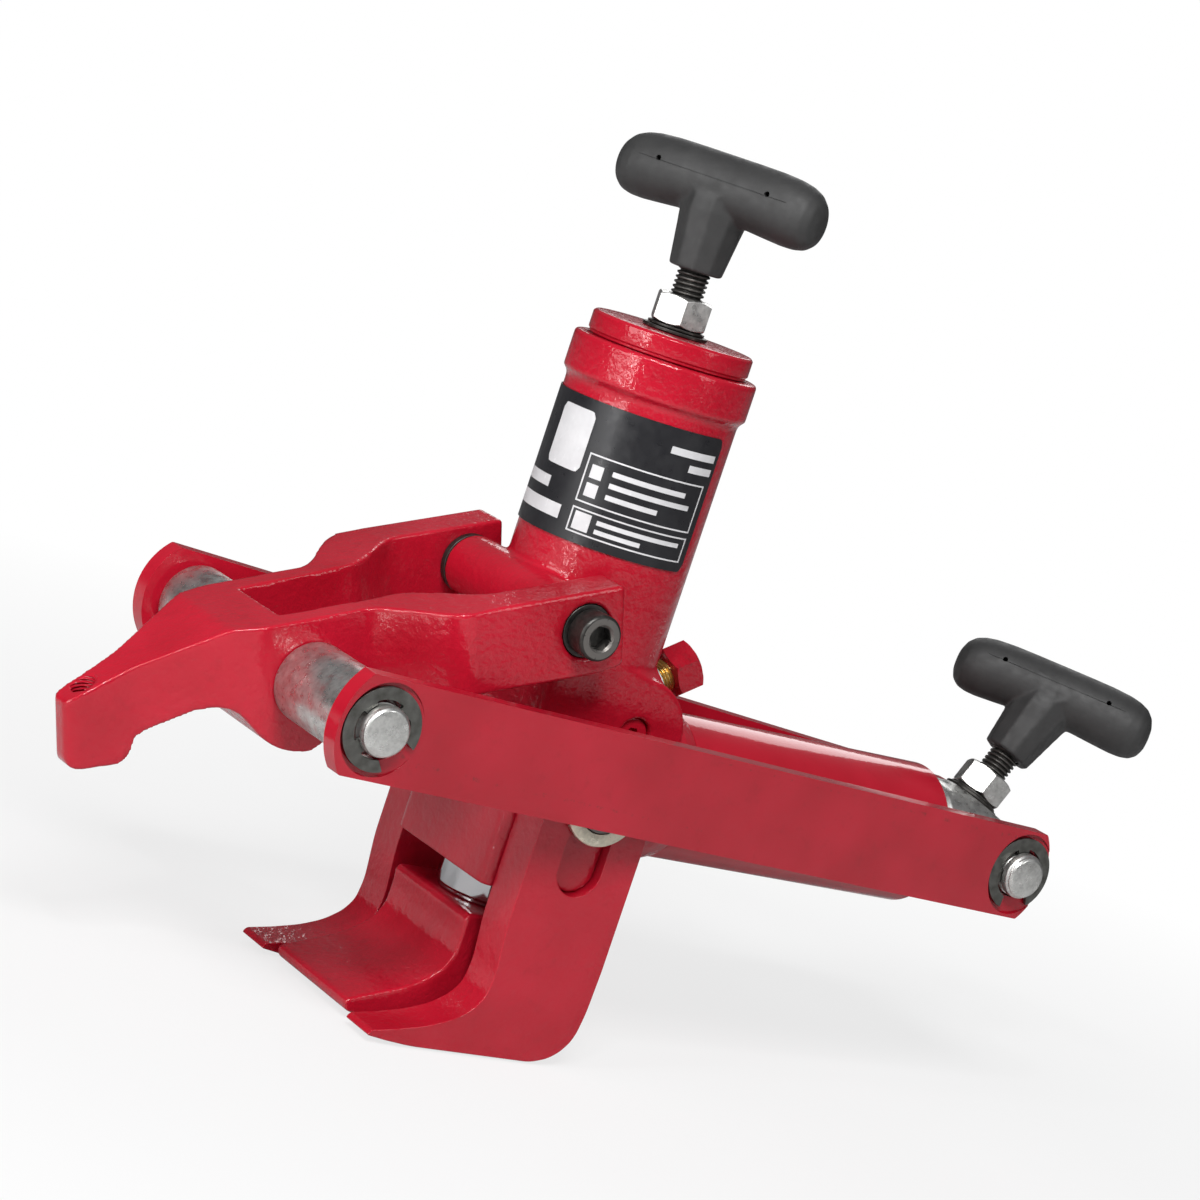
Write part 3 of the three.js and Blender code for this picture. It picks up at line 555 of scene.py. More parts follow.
def plastic(name, dark, light, rough, grain):
    n = Nodes(name)
    base = n.ramp(n.noise(90, 5, 0.6), [(0.3, dark), (0.72, light)])
    scuff = n.ramp(n.noise(220, 6, 0.75, (1, 2.5, 1)), [(0.60, 0.0), (0.74, 0.30)])
    base = n.mix(scuff, base, tuple(1.7 * v for v in light))
    n.put("Base Color", base)
    n.put("Roughness", n.ramp(n.noise(260, 4), [(0.3, rough), (0.7, rough + 0.18)]))
    n.bump((n.noise(110, 3), 0.20, 0.0003), (n.noise(2600, 2), grain, 0.00006))
    return n.material


RED_CAST = red_paint("red_paint_cast", 0.42, 0.26, 0.10)
RED_CLAW = red_paint("red_paint_claw", 0.38, 0.22, 0.10)
RED_SMOOTH = red_paint("red_paint_smooth", 0.05, 0.07, 0.02, 0.3)
ZINC = zinc("zinc_bright")
ZINC_SPRAYED = zinc("zinc_oversprayed", (0.58, 0.57, 0.55), 0.55)
ZINC_CREAM = zinc("zinc_cream", (0.62, 0.58, 0.47), 0.1)
ZINC_YELLOW = zinc("zinc_yellow", (0.62, 0.42, 0.14), 0.15)
CHROME = chrome("chrome_ground")
BLACK = black_oxide("black_oxide")
SPRING = bare_metal("spring_steel", (0.09, 0.09, 0.08), (0.17, 0.17, 0.16), 0.30)
BRONZE = bare_metal("bronze_turned", (0.36, 0.20, 0.07), (0.50, 0.31, 0.12), 0.26)
RUBBER = plastic("seal_rubber", (0.012, 0.012, 0.013), (0.022, 0.022, 0.024), 0.55, 0.2)
GRIP = plastic("grip_plastic", (0.018, 0.018, 0.018), (0.028, 0.028, 0.028), 0.52, 0.35)
LABEL = plastic("label_vinyl", (0.006, 0.006, 0.008), (0.010, 0.010, 0.012), 0.26, 0.05)
LABEL_INK = plastic("label_ink", (0.50, 0.50, 0.51), (0.62, 0.62, 0.63), 0.35, 0.05)


def piece(obj, body, nodes, material):
    """Dresses a finished piece, lets it ride on its body and shows it in place of the CAD nodes."""
    moved(obj, TOOL_SHIFT)
    obj.data.materials.clear()
    obj.data.materials.append(material)
    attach(obj, body)
    if nodes:
        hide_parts(*nodes)
    return obj


# ---------------------------------------------------------------- body casting

def key_outline(gap):
    """The long rounded key that locates a foot plate; with the gap added, the slot it sits in."""
    radius = KEY_R + gap
    return arc(0, 0, radius, 0, 180, 32) + arc(0, -KEY_LENGTH, radius, 180, 360, 32)


def block_outline():
    """The square block from above, with rounded corners."""
    radius = BLOCK_CORNER_R
    front, rear, reach = BLOCK_FRONT_X + radius, BLOCK_REAR_X - radius, BLOCK_HALF_Y - radius
    return (arc(rear, reach, radius, 0, 90, 8) + arc(front, reach, radius, 90, 180, 8)
            + arc(front, -reach, radius, 180, 270, 8) + arc(rear, -reach, radius, 270, 360, 8))


def body_additions():
    """What stands on the barrel: block, side boss, claw boss and web, clamp socket, inlet boss, foot keys."""
    shoulder = turned("shoulder", [(0, -42), (60, -42), (60, 24), (BARREL_R, 46), (0, 46)], segs=128)
    lower = common(prism("lower", block_outline(), -41, 46), shoulder)
    boss_profile = [(0, -BLOCK_HALF_Y), (21.2, -BLOCK_HALF_Y), (21.2, BLOCK_HALF_Y), (0, BLOCK_HALF_Y)]
    boss = turned("side_boss", boss_profile, "Y", SIDE_BOSS_AT, segs=128, soft=0.7)
    pivot = turned("claw_boss", [(0, -31), (11.5, -31), (11.5, 31), (0, 31)], "Y", CLAW_PIVOT_AT, soft=0.8)
    web = prism("claw_web", [(-28, 52), (-16, 40), (-16, 78), (-28, 67)], -12, 12, "Y")
    socket = turned("socket", [(0, 0), (30, 0), (30, 48), (27.8, 55), (0, 55)], "X", segs=128)
    inlet_boss = turned("inlet_boss", [(0, 5), (12, 5), (12, 26), (0, 26)], segs=64)
    keys = prism("foot_keys", key_outline(0), -KEY_OUTER_Y, KEY_OUTER_Y, "Y")
    return lower, boss, pivot, web, socket, moved(inlet_boss, INLET_FRAME), keys


def body_bores():
    push_profile = [
        (0, -45), (23.3, -45), (23.3, -9.7), (25, -9.7), (25, 140), (27.5, 140), (27.5, 156), (0, 156),
    ]
    bores = [
        turned("push_bore", push_profile, segs=128),
        turned("clamp_bore", [(0, 34), (20, 34), (20, 42), (24, 42), (24, 57), (0, 57)], "X", segs=128),
        moved(rod("inlet_face", 10.4, 26, 34), INLET_FRAME),
        moved(rod("inlet_hole", 6.9, 18, 34), INLET_FRAME),
    ]
    for _, side in SIDES:
        bores += [
            rod("pivot_hole", 6.0, side * 12, side * 40, "Y", CLAW_PIVOT_AT),
            rod("foot_screw_hole", 6.2, side * 26, side * 47, "Y"),
            rod("plug_hole", 6.6, side * 26, side * 40, "Y", SIDE_BOSS_AT),
        ]
    return bores


def body_casting():
    barrel_profile = [
        (0, 20), (BARREL_R, 20), (BARREL_R, 136.6), (32.5, 138.2), (34, 139.4), (34, 152.6), (33.2, 153.3),
        (0, 153.3),
    ]
    cast = turned("body_casting_fine", barrel_profile, segs=160)
    union(cast, *body_additions())
    cut(cast, *body_bores())
    voxelled(cast, CAST_VOXEL, 5)
    piece(cast, "body", ["body_casting"], RED_CAST)


def push_cap():
    plug, rim = 27.2, 29.8
    profile = [
        (0, 140.3), (plug, 140.3), (plug, 144), (plug - 2.4, 144), (plug - 2.4, 148), (plug, 148),
        (plug, 153.6), (29.2, 153.6), (29.2, 154.6), (rim, 155.0), (rim, 160.9), (28.9, 161.8),
        (9, 161.8), (0, 161.8),
    ]
    cap = turned("push_cap_fine", profile, segs=160, soft=0.3)
    cut(cap, rod("stud_hole", STUD_HOLE_R, 146, 163))
    piece(shaded(cap, 40), "body", ["push_cylinder_cap"], RED_CLAW)


def clamp_tube():
    profile = [
        (20, 42.3), (23.7, 42.3), (23.7, 55.3), (27.3, 55.3), (27.3, 178.8), (26.1, 180), (22.3, 180),
        (22.3, 164), (20, 164), (20, 42.3),
    ]
    tube = turned("clamp_tube_fine", profile, "X", segs=160, soft=0.4)
    piece(tube, "body", ["clamp_cylinder_tube"], RED_SMOOTH)


def inlet():
    """The oil inlet: a painted hexagon, a zinc-plated thread and a seal washer."""
    chamfer_profile = [(0, 34), (9.2, 34), (10.6, 34.9), (10.6, 43.6), (9.2, 44.5), (0, 44.5)]
    chamfer = turned("inlet_chamfer", chamfer_profile, segs=96)
    hexagon = common(hex_rod("inlet_hex_fine", 18, 34, 44.5), chamfer)
    cut(hexagon, rod("inlet_port", INLET_PORT_R, 35.5, 46), rod("inlet_bore", INLET_BORE_R, 30, 37))
    moved(shaded(hexagon, 40), INLET_FRAME)
    piece(hexagon, "body", ["inlet_adapter"], RED_CLAW)
    thread = threaded("inlet_thread_fine", 6.6, 1.34, 0.8, 18.3, 33.9)
    cut(thread, rod("inlet_bore", INLET_BORE_R, 15, 36))
    piece(moved(shaded(thread, 60), INLET_FRAME), "body", None, ZINC_YELLOW)
    washer = turned("inlet_seal_washer_fine", ring(6.9, 9.6, 26.3, 27.8), segs=96, soft=0.25)
    piece(moved(washer, INLET_FRAME), "body", ["inlet_seal_washer"], ZINC)


def boss_plug(label, side):
    profile = [(0, 26.3), (6.3, 26.3), (6.3, 30), (0, 30)]
    plug = turned("boss_plug_fine_" + label, profile, "Y", SIDE_BOSS_AT, side, soft=0.5)
    cut(plug, hex_rod("socket", 5, side * 27.6, side * 31, "Y", SIDE_BOSS_AT))
    piece(shaded(plug), "body", ["boss_plug_" + label], RED_CLAW)


def foot_hardware(label, side):
    washer_profile = [
        (8.3, 49.3), (15.3, 49.3), (15.3, 51.4), (14.8, 51.9), (10.4, 51.9), (10.4, 51.4), (8.3, 49.3),
    ]
    washer = turned("foot_washer_fine_" + label, washer_profile, "Y", side=side, soft=0.3, segs=128)
    piece(washer, "body", ["foot_washer_" + label], ZINC_CREAM)
    screw_profile = [(0, 26.4), (5.9, 26.4), (5.9, 47.4), (10, 51.5), (10, 51.9), (0, 51.9)]
    screw = turned("foot_screw_fine_" + label, screw_profile, "Y", side=side)
    cut(screw, hex_rod("socket", 8, side * 47.5, side * 53, "Y"))
    piece(shaded(screw), "body", ["foot_screw_" + label], BLACK)


def pivot_screw(label, side):
    at = CLAW_PIVOT_AT
    profile = [
        (0, 13), (5.7, 13), (5.7, 31.3), (6.3, 31.3), (6.3, 50.5), (8.3, 50.5), (8.3, 58.2), (7.5, 59),
        (0, 59),
    ]
    screw = turned("claw_pivot_screw_fine_" + label, profile, "Y", at, side, soft=0.35)
    bevel = turned("socket_lead", [(0, 58.2), (4.3, 58.2), (5.2, 59.2), (0, 59.2)], "Y", at, side)
    cut(screw, hex_rod("socket", 8, side * 54, side * 60, "Y", at), bevel)
    piece(shaded(screw), "body", ["claw_pivot_screw_" + label], BLACK)


# ---------------------------------------------------------------- label

def label_shell(name, inner, outer, a0, a1, z0, z1, corner=0, rows=24):
    """A thin curved sheet on the barrel between two angles and two heights, with rounded corners."""
    cols = max(2, int(abs(a1 - a0) / 2))
    verts, faces = [], []
    for radius in (inner, outer):
        length = abs(a1 - a0) * math.pi / 180 * radius
        for i in range(cols + 1):
            along = length * i / cols
            reach = min(along, length - along)
            trim = 0.0
            if reach <= corner:
                trim = corner - math.sqrt(max(0.0, corner ** 2 - (corner - reach) ** 2))
            angle = math.radians(a0 + (a1 - a0) * i / cols)
            for j in range(rows + 1):
                z = (z0 + trim) + (z1 - z0 - 2 * trim) * j / rows
                verts.append((radius * math.cos(angle), radius * math.sin(angle), z))
    step = rows + 1
    block = (cols + 1) * step
    for i in range(cols):
        for j in range(rows):
            a = i * step + j
            faces.append((a, a + 1, a + step + 1, a + step))
            faces.append((block + a, block + a + step, block + a + step + 1, block + a + 1))
    for i in range(cols):
        for j in (0, rows):
            a = i * step + j
            faces.append((a, a + step, block + a + step, block + a))
    for j in range(rows):
        for i in (0, cols):
            a = i * step + j
            faces.append((a, a + 1, block + a + 1, block + a))
    return shaded(make(name, verts, faces), 40)


def ink(name, sheets):
    """Joins printed sheets into one pale piece."""
    joined = union(sheets[0], *sheets[1:])
    joined.name = name
    piece(shaded(joined, 40), "body", None, LABEL_INK)


def frame_lines(name, a0, a1, z0, z1, line=0.55):
    """An empty printed frame."""
    sweep = math.degrees(line / 32.7)
    edges = [
        (a0, a1, z0, z0 + line), (a0, a1, z1 - line, z1), (a0, a0 + sweep, z0, z1), (a1 - sweep, a1, z0, z1),
    ]
    ink(name, [label_shell("line", INK_R0, INK_R1, *edge) for edge in edges])


def blank_marks():
    """Plain bars where a label would carry lines, and a blank panel where it would carry a badge."""
    bars = [
        (-104, -68, 123.6, 126.2), (-88, -68, 118.6, 121.2), (-134, -84, 109.4, 111.2),
        (-134, -78, 105.2, 107), (-134, -100, 101, 102.8), (-148, -140, 106.6, 111.4),
        (-148, -140, 100, 104.8), (-134, -76, 91.6, 93.2), (-134, -104, 88.4, 90),
        (-149, -138, 87.8, 94.2), (-210, -176, 98, 102), (-210, -160, 89, 94),
    ]
    sheets = [label_shell("bar", INK_R0, INK_R1, *bar, rows=2) for bar in bars]
    sheets.append(label_shell("panel", INK_R0, INK_R1, -186, -156, 106.5, 128.5, 2.0))
    ink("label_blank_marks", sheets)


def label_plate():
    plate = label_shell("label_plate_fine", LABEL_R0, LABEL_R1, -264, -64, 83.1, 132.7, 3.0)
    piece(plate, "body", ["label_plate"], LABEL)
    frame_lines("label_frame_upper", FRAME_A0, FRAME_A1, 97.5, 115)
    frame_lines("label_frame_lower", FRAME_A0, FRAME_A1, 86.5, 95.5)
    blank_marks()


# ---------------------------------------------------------------- push ram

def push_ram_rod():
    profile = [
        (0, -53.2), (19, -53.2), (19, -51.9), (20, -51.2), (20, 124), (24.6, 124), (24.6, 128), (22, 128),
        (22, 132), (24.6, 132), (24.6, 135), (23.6, 136), (0, 136),
    ]
    ram = turned("push_ram_rod_fine", profile, segs=128, soft=0.3)
    cut(ram, rod("tapped", 6.3, -54, -34))
    piece(shaded(ram), "push_ram", ["push_ram_rod"], CHROME)


def push_shoe():
    outline = [
        (-24.5, SHOE_TOP_Z), (-23.3, -62), (-24, -70), (-27, -75.5), (-33, -80), (-40, -83.8), (-50, -87),
        (-62, -91.2), (-61, -95.2), (-53, -97), (-16, -97), (-10.5, -94), (-10, -84),
        (-12.5, -72), (-11.5, -62), (19, -62), (19, SHOE_TOP_Z),
    ]
    shoe = prism("push_shoe_fine", softened(outline, 5, steps=5, min_turn=4), -SHOE_HALF_Y, SHOE_HALF_Y, "Y")
    cut(shoe, rod("shoe_hole", 6.4, -70, -50))
    voxelled(shoe, CAST_VOXEL, 4)
    piece(shoe, "push_ram", ["push_shoe"], RED_CLAW)
    profile = [(0, -72), (8.4, -72), (9, -71.3), (9, -62.3), (5.9, -62.3), (5.9, -36), (0, -36)]
    screw = turned("push_shoe_screw_fine", profile, soft=0.3)
    cut(screw, hex_rod("socket", 8, -73, -67))
    piece(shaded(screw), "push_ram", ["push_shoe_screw"], BLACK)


def helix_wire(name, foot, rise, steps, around):
    """Round wire along a helix about Z, with flat ends."""
    pitch_slope = rise / SPRING_TURNS / math.tau
    verts, faces = [], []
    for i in range(steps + 1):
        angle = math.tau * SPRING_TURNS * i / steps
        outward = Vector((math.cos(angle), math.sin(angle), 0))
        along = Vector((-SPRING_MEAN_R * outward.y, SPRING_MEAN_R * outward.x, pitch_slope)).normalized()
        upward = along.cross(outward)
        centre = SPRING_MEAN_R * outward + Vector((0, 0, foot + rise * i / steps))
        for k in range(around):
            turn = math.tau * k / around
            verts.append(centre + SPRING_WIRE_R * (math.cos(turn) * outward + math.sin(turn) * upward))
    for i in range(steps):
        for k in range(around):
            a, b = i * around + k, i * around + (k + 1) % around
            faces.append((a, b, b + around, a + around))
    faces += [tuple(range(around)), tuple(range(steps * around, (steps + 1) * around))]
    return shaded(make(name, verts, faces), 50)


def return_spring():
    """The push ram's return spring, wound over the height of the CAD spring, so its foot sits on the gland.
    """
    low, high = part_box("push_return_spring")
    foot = low[2] / MM - TOOL_SHIFT.translation.z + SPRING_WIRE_R
    rise = (high[2] - low[2]) / MM - 2 * SPRING_WIRE_R
    wire = helix_wire("push_return_spring_fine", foot, rise, SPRING_TURNS * 48, 16)
    piece(wire, "push_ram", ["push_return_spring"], SPRING)
    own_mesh(wire)


# ---------------------------------------------------------------- clamp ram

def crosshead():
    at = (REAR_PIN_X, 0, 0)
    profile = [
        (0, 184.3), (21.5, 184.3), (23, 185.8), (23, 219.5), (22.4, 222.5), (20.8, 224.9), (19, 226),
        (0, 226),
    ]
    head = turned("clamp_crosshead_fine", profile, "X", segs=160, soft=0.5)
    boss = turned("pin_boss", [(0, -26), (13.5, -26), (13.5, 26), (0, 26)], "Y", at, soft=0.6)
    facet = moved(slab("facet", -45, 45, -40, 40, -8.2, 22), REAR_HANDLE_FRAME)
    stud_hole = moved(rod("stud_hole", STUD_HOLE_R, -13, 0), REAR_HANDLE_FRAME)
    union(head, boss)
    cut(head, facet, stud_hole, rod("rod_hole", 10.3, 184, 198.4, "X"),
        rod("pin_hole", PIN_HOLE_R, -30, 30, "Y", at), rod("grub_hole", 3.3, 214, 227, "X", segs=48))
    piece(bevelled(head, 0.6, 2), "clamp_ram", ["clamp_crosshead"], ZINC)


def pin_profile(half, clip, end_radius):
    """A pin with a clip groove near each end, turned about Y."""
    g0, g1 = clip - 0.3, clip + 1.8
    end = [
        (PIN_R, g0), (PIN_GROOVE_R, g0), (PIN_GROOVE_R, g1), (PIN_R, g1), (PIN_R, half - 2.2),
        (end_radius, half - 1.3), (end_radius, half - 0.9), (end_radius - 0.9, half), (0, half),
    ]
    return [(r, -y) for r, y in reversed(end)] + end


def e_clip(name, y0, side, x, z, opening):
    """An E-clip with three prongs, drawn in the XZ plane with its mouth along the opening angle."""
    rim = arc(0, 0, CLIP_R, opening + CLIP_MOUTH_DEG, opening + 360 - CLIP_MOUTH_DEG, 72)
    inside = []
    start, steps = opening + 360 - CLIP_MOUTH_DEG - CLIP_LEAD_DEG, 8
    for centre in (270, 180, 90):
        middle = opening + centre
        flank = CLIP_PRONG_DEG * 1.05
        inside += arc(0, 0, CLIP_INNER_R, start, middle + CLIP_PRONG_DEG, steps)
        inside += arc(0, 0, CLIP_PRONG_R, middle + flank, middle - flank, 6)
        start, steps = middle - CLIP_PRONG_DEG, 6
    inside += arc(0, 0, CLIP_INNER_R, start, opening + CLIP_MOUTH_DEG + CLIP_LEAD_DEG, 8)
    outline = [(x + px, z + pz) for px, pz in rim + inside]
    lo, hi = sorted((side * y0, side * (y0 + CLIP_THICK)))
    return bevelled(prism(name, softened(outline, 0.5, min_turn=25), lo, hi, "Y"), 0.22, 2)


def rear_pin():
    profile = pin_profile(REAR_PIN_HALF, REAR_CLIP_Y, 8.2)
    pin = turned("rear_pin_fine", profile, "Y", (REAR_PIN_X, 0, 0), soft=0.35, segs=128)
    piece(pin, "clamp_ram", ["rear_pin"], ZINC)
    for label, side in SIDES:
        clip = e_clip("rear_clip_fine_" + label, REAR_CLIP_Y, side, REAR_PIN_X, 0, -80)
        piece(clip, "clamp_ram", ["rear_clip_" + label], SPRING)


# ---------------------------------------------------------------- claw

def claw_side():
    """The claw from the side: nose, hook, throat, eye boss and arms."""
    return [
        (15, 14.2), (-35, 14), (-72, 12.3), (-121, 11.3), (-174.3, -10.5), (-174.3, -31.2), (-173, -34),
        (-170, -35), (-157, -35), (-153, -32.5), (-151.3, -27.5), (-150.5, -25.5), (-146.2, -23),
        (-132.1, -16.9), (-126, -16.2), (-121.9, -16.7), (-118.2, -19.1), (-113.4, -25.4),
        *arc(*FRONT_PIN, 25, 222, 270, 12), (-75, -27), (-68, -19), (-60, -16), (4.7, -16.3), (14.5, -14.7),
    ]


def claw_plan():
    """The claw from above: a narrow nose that widens through an S-bend into two arms."""
    half = [
        (-174.3, 0), (-174.3, 3.0), (-173.2, 5), (-170, 6.0), (-160, 7.0), (-150, 8.6), (-121, 21.5),
        (-110, 25), *s_bend(-74, 25, -44, 50), (20, 50),
    ]
    return half + [(u, -y) for u, y in reversed(half[1:])]


def claw_slot():
    half = [(-100.5, 15.5), *s_bend(-58, 17, -28, 34.5), (30, 34.5)]
    return half + [(u, -y) for u, y in reversed(half)]


def claw_arm():
    claw = common(prism("claw_arm_fine", softened(claw_side(), 1.6, steps=4, min_turn=8), -60, 60, "Y"),
                  prism("plan", softened(claw_plan(), 3.0, steps=4, min_turn=8), -60, 30))
    cut(claw, prism("slot", claw_slot(), -60, 30),
        rod("pin_hole", PIN_HOLE_R, -60, 60, "Y", (FRONT_PIN[0], 0, FRONT_PIN[1])),
        rod("bush_hole", 9.8, -60, 60, "Y"), rod("tip_hole", 4.0, -22, 10, "Z", (CLAW_TIP_HOLE_X, 0, 0)))
    voxelled(claw, CAST_VOXEL, 3)
    thread = threaded("tip_thread", 4.7, 1.25, 0.7, -21, 3)
    cut(claw, moved(thread, Matrix.Translation((CLAW_TIP_HOLE_X, 0, 0))))
    moved(shaded(claw, 60), CLAW_FRAME)
    piece(claw, "claw", ["claw_arm"], RED_CLAW)


def claw_hardware():
    u, w = FRONT_PIN
    at = (u, 0, w)
    profile = pin_profile(FRONT_PIN_HALF, FRONT_CLIP_Y, 8.6)
    pin = turned("front_pin_fine", profile, "Y", at, soft=0.4, segs=128)
    piece(moved(pin, CLAW_FRAME), "claw", ["front_pin"], ZINC)
    bush_profile = [
        (6.6, 31.4), (11.2, 31.4), (11.2, 34.2), (9.5, 34.2), (9.5, 49.6), (6.6, 49.6), (6.6, 31.4),
    ]
    for label, side in SIDES:
        sleeve_profile = ring(PIN_HOLE_R, 14.4, 25.4, 66)
        sleeve = turned("front_sleeve_fine_" + label, sleeve_profile, "Y", at, side, soft=0.7, segs=128)
        piece(moved(sleeve, CLAW_FRAME), "claw", ["front_sleeve_" + label], ZINC_SPRAYED)
        clip = e_clip("front_clip_fine_" + label, FRONT_CLIP_Y, side, u, w, -65)
        piece(moved(clip, CLAW_FRAME), "claw", ["front_clip_" + label], SPRING)
        bush = turned("claw_pivot_bush_fine_" + label, bush_profile, "Y", side=side, soft=0.3)
        piece(moved(bush, CLAW_FRAME), "claw", ["claw_pivot_bush_" + label], BLACK)


# ---------------------------------------------------------------- links and feet

def link_plan(side):
    """A side link from above: a straight bar that runs outwards towards the front."""
    front, rear = -LINK_LENGTH - LINK_FRONT_OVERHANG - 20, 30
    outer = [(x, LINK_REAR_OUTER_Y - LINK_SPLAY * x) for x in (front, rear)]
    inner = [(x, y - LINK_THICK_Y) for x, y in reversed(outer)]
    return [(x, side * y) for x, y in outer + inner]


def side_link(label, side):
    reach = LINK_LENGTH + LINK_FRONT_OVERHANG
    half = math.degrees(math.asin(LINK_HALF_HEIGHT / LINK_END_R))
    outline = (arc(LINK_REAR_OVERHANG - LINK_END_R, 0, LINK_END_R, -half, half, 28)
               + arc(LINK_END_R - reach, 0, LINK_END_R, 180 - half, 180 + half, 28))
    bar = common(prism("link_fine_" + label, link_plan(side), -40, 40),
                 prism("side", softened(outline, 2.0), -120, 120, "Y"))
    front = (-LINK_LENGTH, 0, 0)
    cut(bar, rod("front_eye", 11, side * 50, side * 100, "Y", front),
        rod("rear_eye", 9.9, side * 10, side * 60, "Y"),
        rod("front_spot", SPOT_FACE_R, side * (FRONT_CLIP_Y - 0.3), side * 100, "Y", front, 128),
        rod("rear_spot", SPOT_FACE_R, side * (REAR_CLIP_Y - 0.3), side * 60, "Y", segs=128))
    bevelled(bar, 0.55, 3, 30)
    piece(moved(bar, LINK_FRAME), "links", ["link_" + label], RED_SMOOTH)


def foot_plate(label, side):
    outline = [
        (-22.4, 16), (-22.4, -50), (-21.4, -60), (-20.6, -68), (-21.7, -76.3), (-25.4, -81.3), (-32.2, -85.9),
        (-41.5, -89.3), (-53.1, -91.8), (-63, -93.4), (-64.3, -95.5), (-55.9, -96.6), (-45.5, -97.5),
        (5.9, -97.5), (12.7, -95.4), (16.9, -92.5), (20.2, -88.3), (21.7, -84.3), (22.9, -76.4), (23.5, -60),
        (23.5, 16),
    ]
    lo, hi = sorted((side * FOOT_INNER_Y, side * FOOT_OUTER_Y))
    plate = prism("foot_plate_fine_" + label, softened(outline, 4.0, steps=5, min_turn=4), lo, hi, "Y")
    cut(plate, prism("slot", key_outline(0.3), -60, 60, "Y"))
    bevelled(plate, 1.3, 4, 42)
    piece(plate, "body", ["foot_plate_" + label], RED_CLAW)


# ---------------------------------------------------------------- handles

def locknut(name):
    chamfer_profile = [
        (0, -NUT_HALF), (9.2, -NUT_HALF), (11.2, -4.2), (11.2, 4.2), (9.2, NUT_HALF), (0, NUT_HALF),
    ]
    bore_profile = [
        (0, -7), (7.1, -7), (7.1, -NUT_HALF), (STUD_HOLE_R, -4.6), (STUD_HOLE_R, 4.6), (7.1, NUT_HALF),
        (7.1, 7), (0, 7),
    ]
    chamfer = turned("nut_chamfer", chamfer_profile, segs=96)
    nut = common(hex_rod(name, NUT_ACROSS_FLATS, -NUT_HALF, NUT_HALF), chamfer)
    cut(nut, turned("nut_bore", bore_profile))
    return bevelled(nut, 0.15, 2, 40)


def grip_bar(name):
    """The bar of a grip along X, a little lower at its ends."""
    ends = [(0, 0), (4.5, 0.4), (8.0, 1.8), (10.4, 4.4), (11.6, 8), (12.1, 12.5), (12.1, 20), (11.8, 29)]
    half = [(radius, depth - GRIP_HALF_LENGTH) for radius, depth in ends]
    bar = turned(name, half + [(r, -x) for r, x in reversed(half)], "X", segs=96)
    for vert in bar.data.vertices:
        vert.co.z -= GRIP_DROOP * MM * (vert.co.x / (GRIP_HALF_LENGTH * MM)) ** 2
    return bar


def grip_body(name, lean):
    """A moulded T-grip: leaning bar, faceted stem, seam line and the two ejector pin marks."""
    bar_frame = Matrix.Translation((0, 0, GRIP_BAR_Z)) @ Matrix.Rotation(-lean, 4, "Y")
    bar = moved(grip_bar(name), bar_frame)
    stem_profile = [(0, GRIP_BASE), (10.0, GRIP_BASE), (11.9, 30), (12.9, 37), (12.6, 42), (0, 42)]
    stem = turned("stem", stem_profile, segs=10)
    neck = turned("neck", [(0, 34), (10.5, 34), (11.4, 40), (14.5, 46), (14.5, 48), (0, 48)], segs=64)
    neck = common(neck, slab("neck_clip", -30, 30, -11.6, 11.6, 30, 50))
    grip = union(bar, stem, neck)
    voxelled(grip, GRIP_VOXEL, 14)
    seam = moved(slab("seam", -30, 30, -14, -11.35, 1.6, 2.05), bar_frame)
    marks = [moved(rod("mark", 1.0, -16, -8, "Y", (side * GRIP_PIN_X, 0, 2.5), segs=24), bar_frame)
             for side in (-1, 1)]
    cut(grip, rod("stud_hole", STUD_HOLE_R, GRIP_BASE - 1, 31), seam, *marks)
    return grip


def handle(prefix, place, swivel, lean, stud_bottom, fixed_body):
    """A T-handle. The nut and washers stay on the fixed body; the stud and grip turn."""
    turn = place @ Matrix.Rotation(swivel, 4, "Z")
    nut = locknut(prefix + "_handle_nut_fine")
    piece(moved(nut, place), fixed_body, [prefix + "_handle_nut"], ZINC)
    for tag, radius, z0, z1 in (("lower", 12, -7.9, -6.8), ("upper", 10.5, -6.5, -5.7)):
        washer = turned(prefix + "_handle_washer_fine_" + tag, ring(STUD_HOLE_R, radius, z0, z1), soft=0.25)
        piece(moved(washer, place), fixed_body, [prefix + "_handle_washer_" + tag], BLACK)
    stud = threaded(prefix + "_handle_stud_fine", STUD_R, 1.75, 0.95, stud_bottom, 30)
    piece(moved(stud, turn), prefix + "_handle", [prefix + "_handle_stud"], BLACK)
    grip = moved(grip_body(prefix + "_handle_grip_fine", lean), turn)
    piece(shaded(grip, 40), prefix + "_handle", [prefix + "_handle_grip"], GRIP)


# ---------------------------------------------------------------- carried-over CAD nodes

CARRIED = {
    "push_cap_seal": RUBBER, "push_gland_bush": BRONZE, "push_rod_wiper": RUBBER, "clamp_gland_ring": BRONZE,
    "clamp_rod_wiper": RUBBER, "push_piston_seal": RUBBER, "clamp_ram_rod": CHROME,
    "clamp_piston_seal": RUBBER, "crosshead_grub_screw": BLACK,
}


def dress_cad_nodes():
    for node, material in CARRIED.items():
        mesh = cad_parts[node].data
        if not mesh.materials:
            mesh.materials.append(material)
        for index in range(len(mesh.materials)):
            mesh.materials[index] = material


# ---------------------------------------------------------------- studio

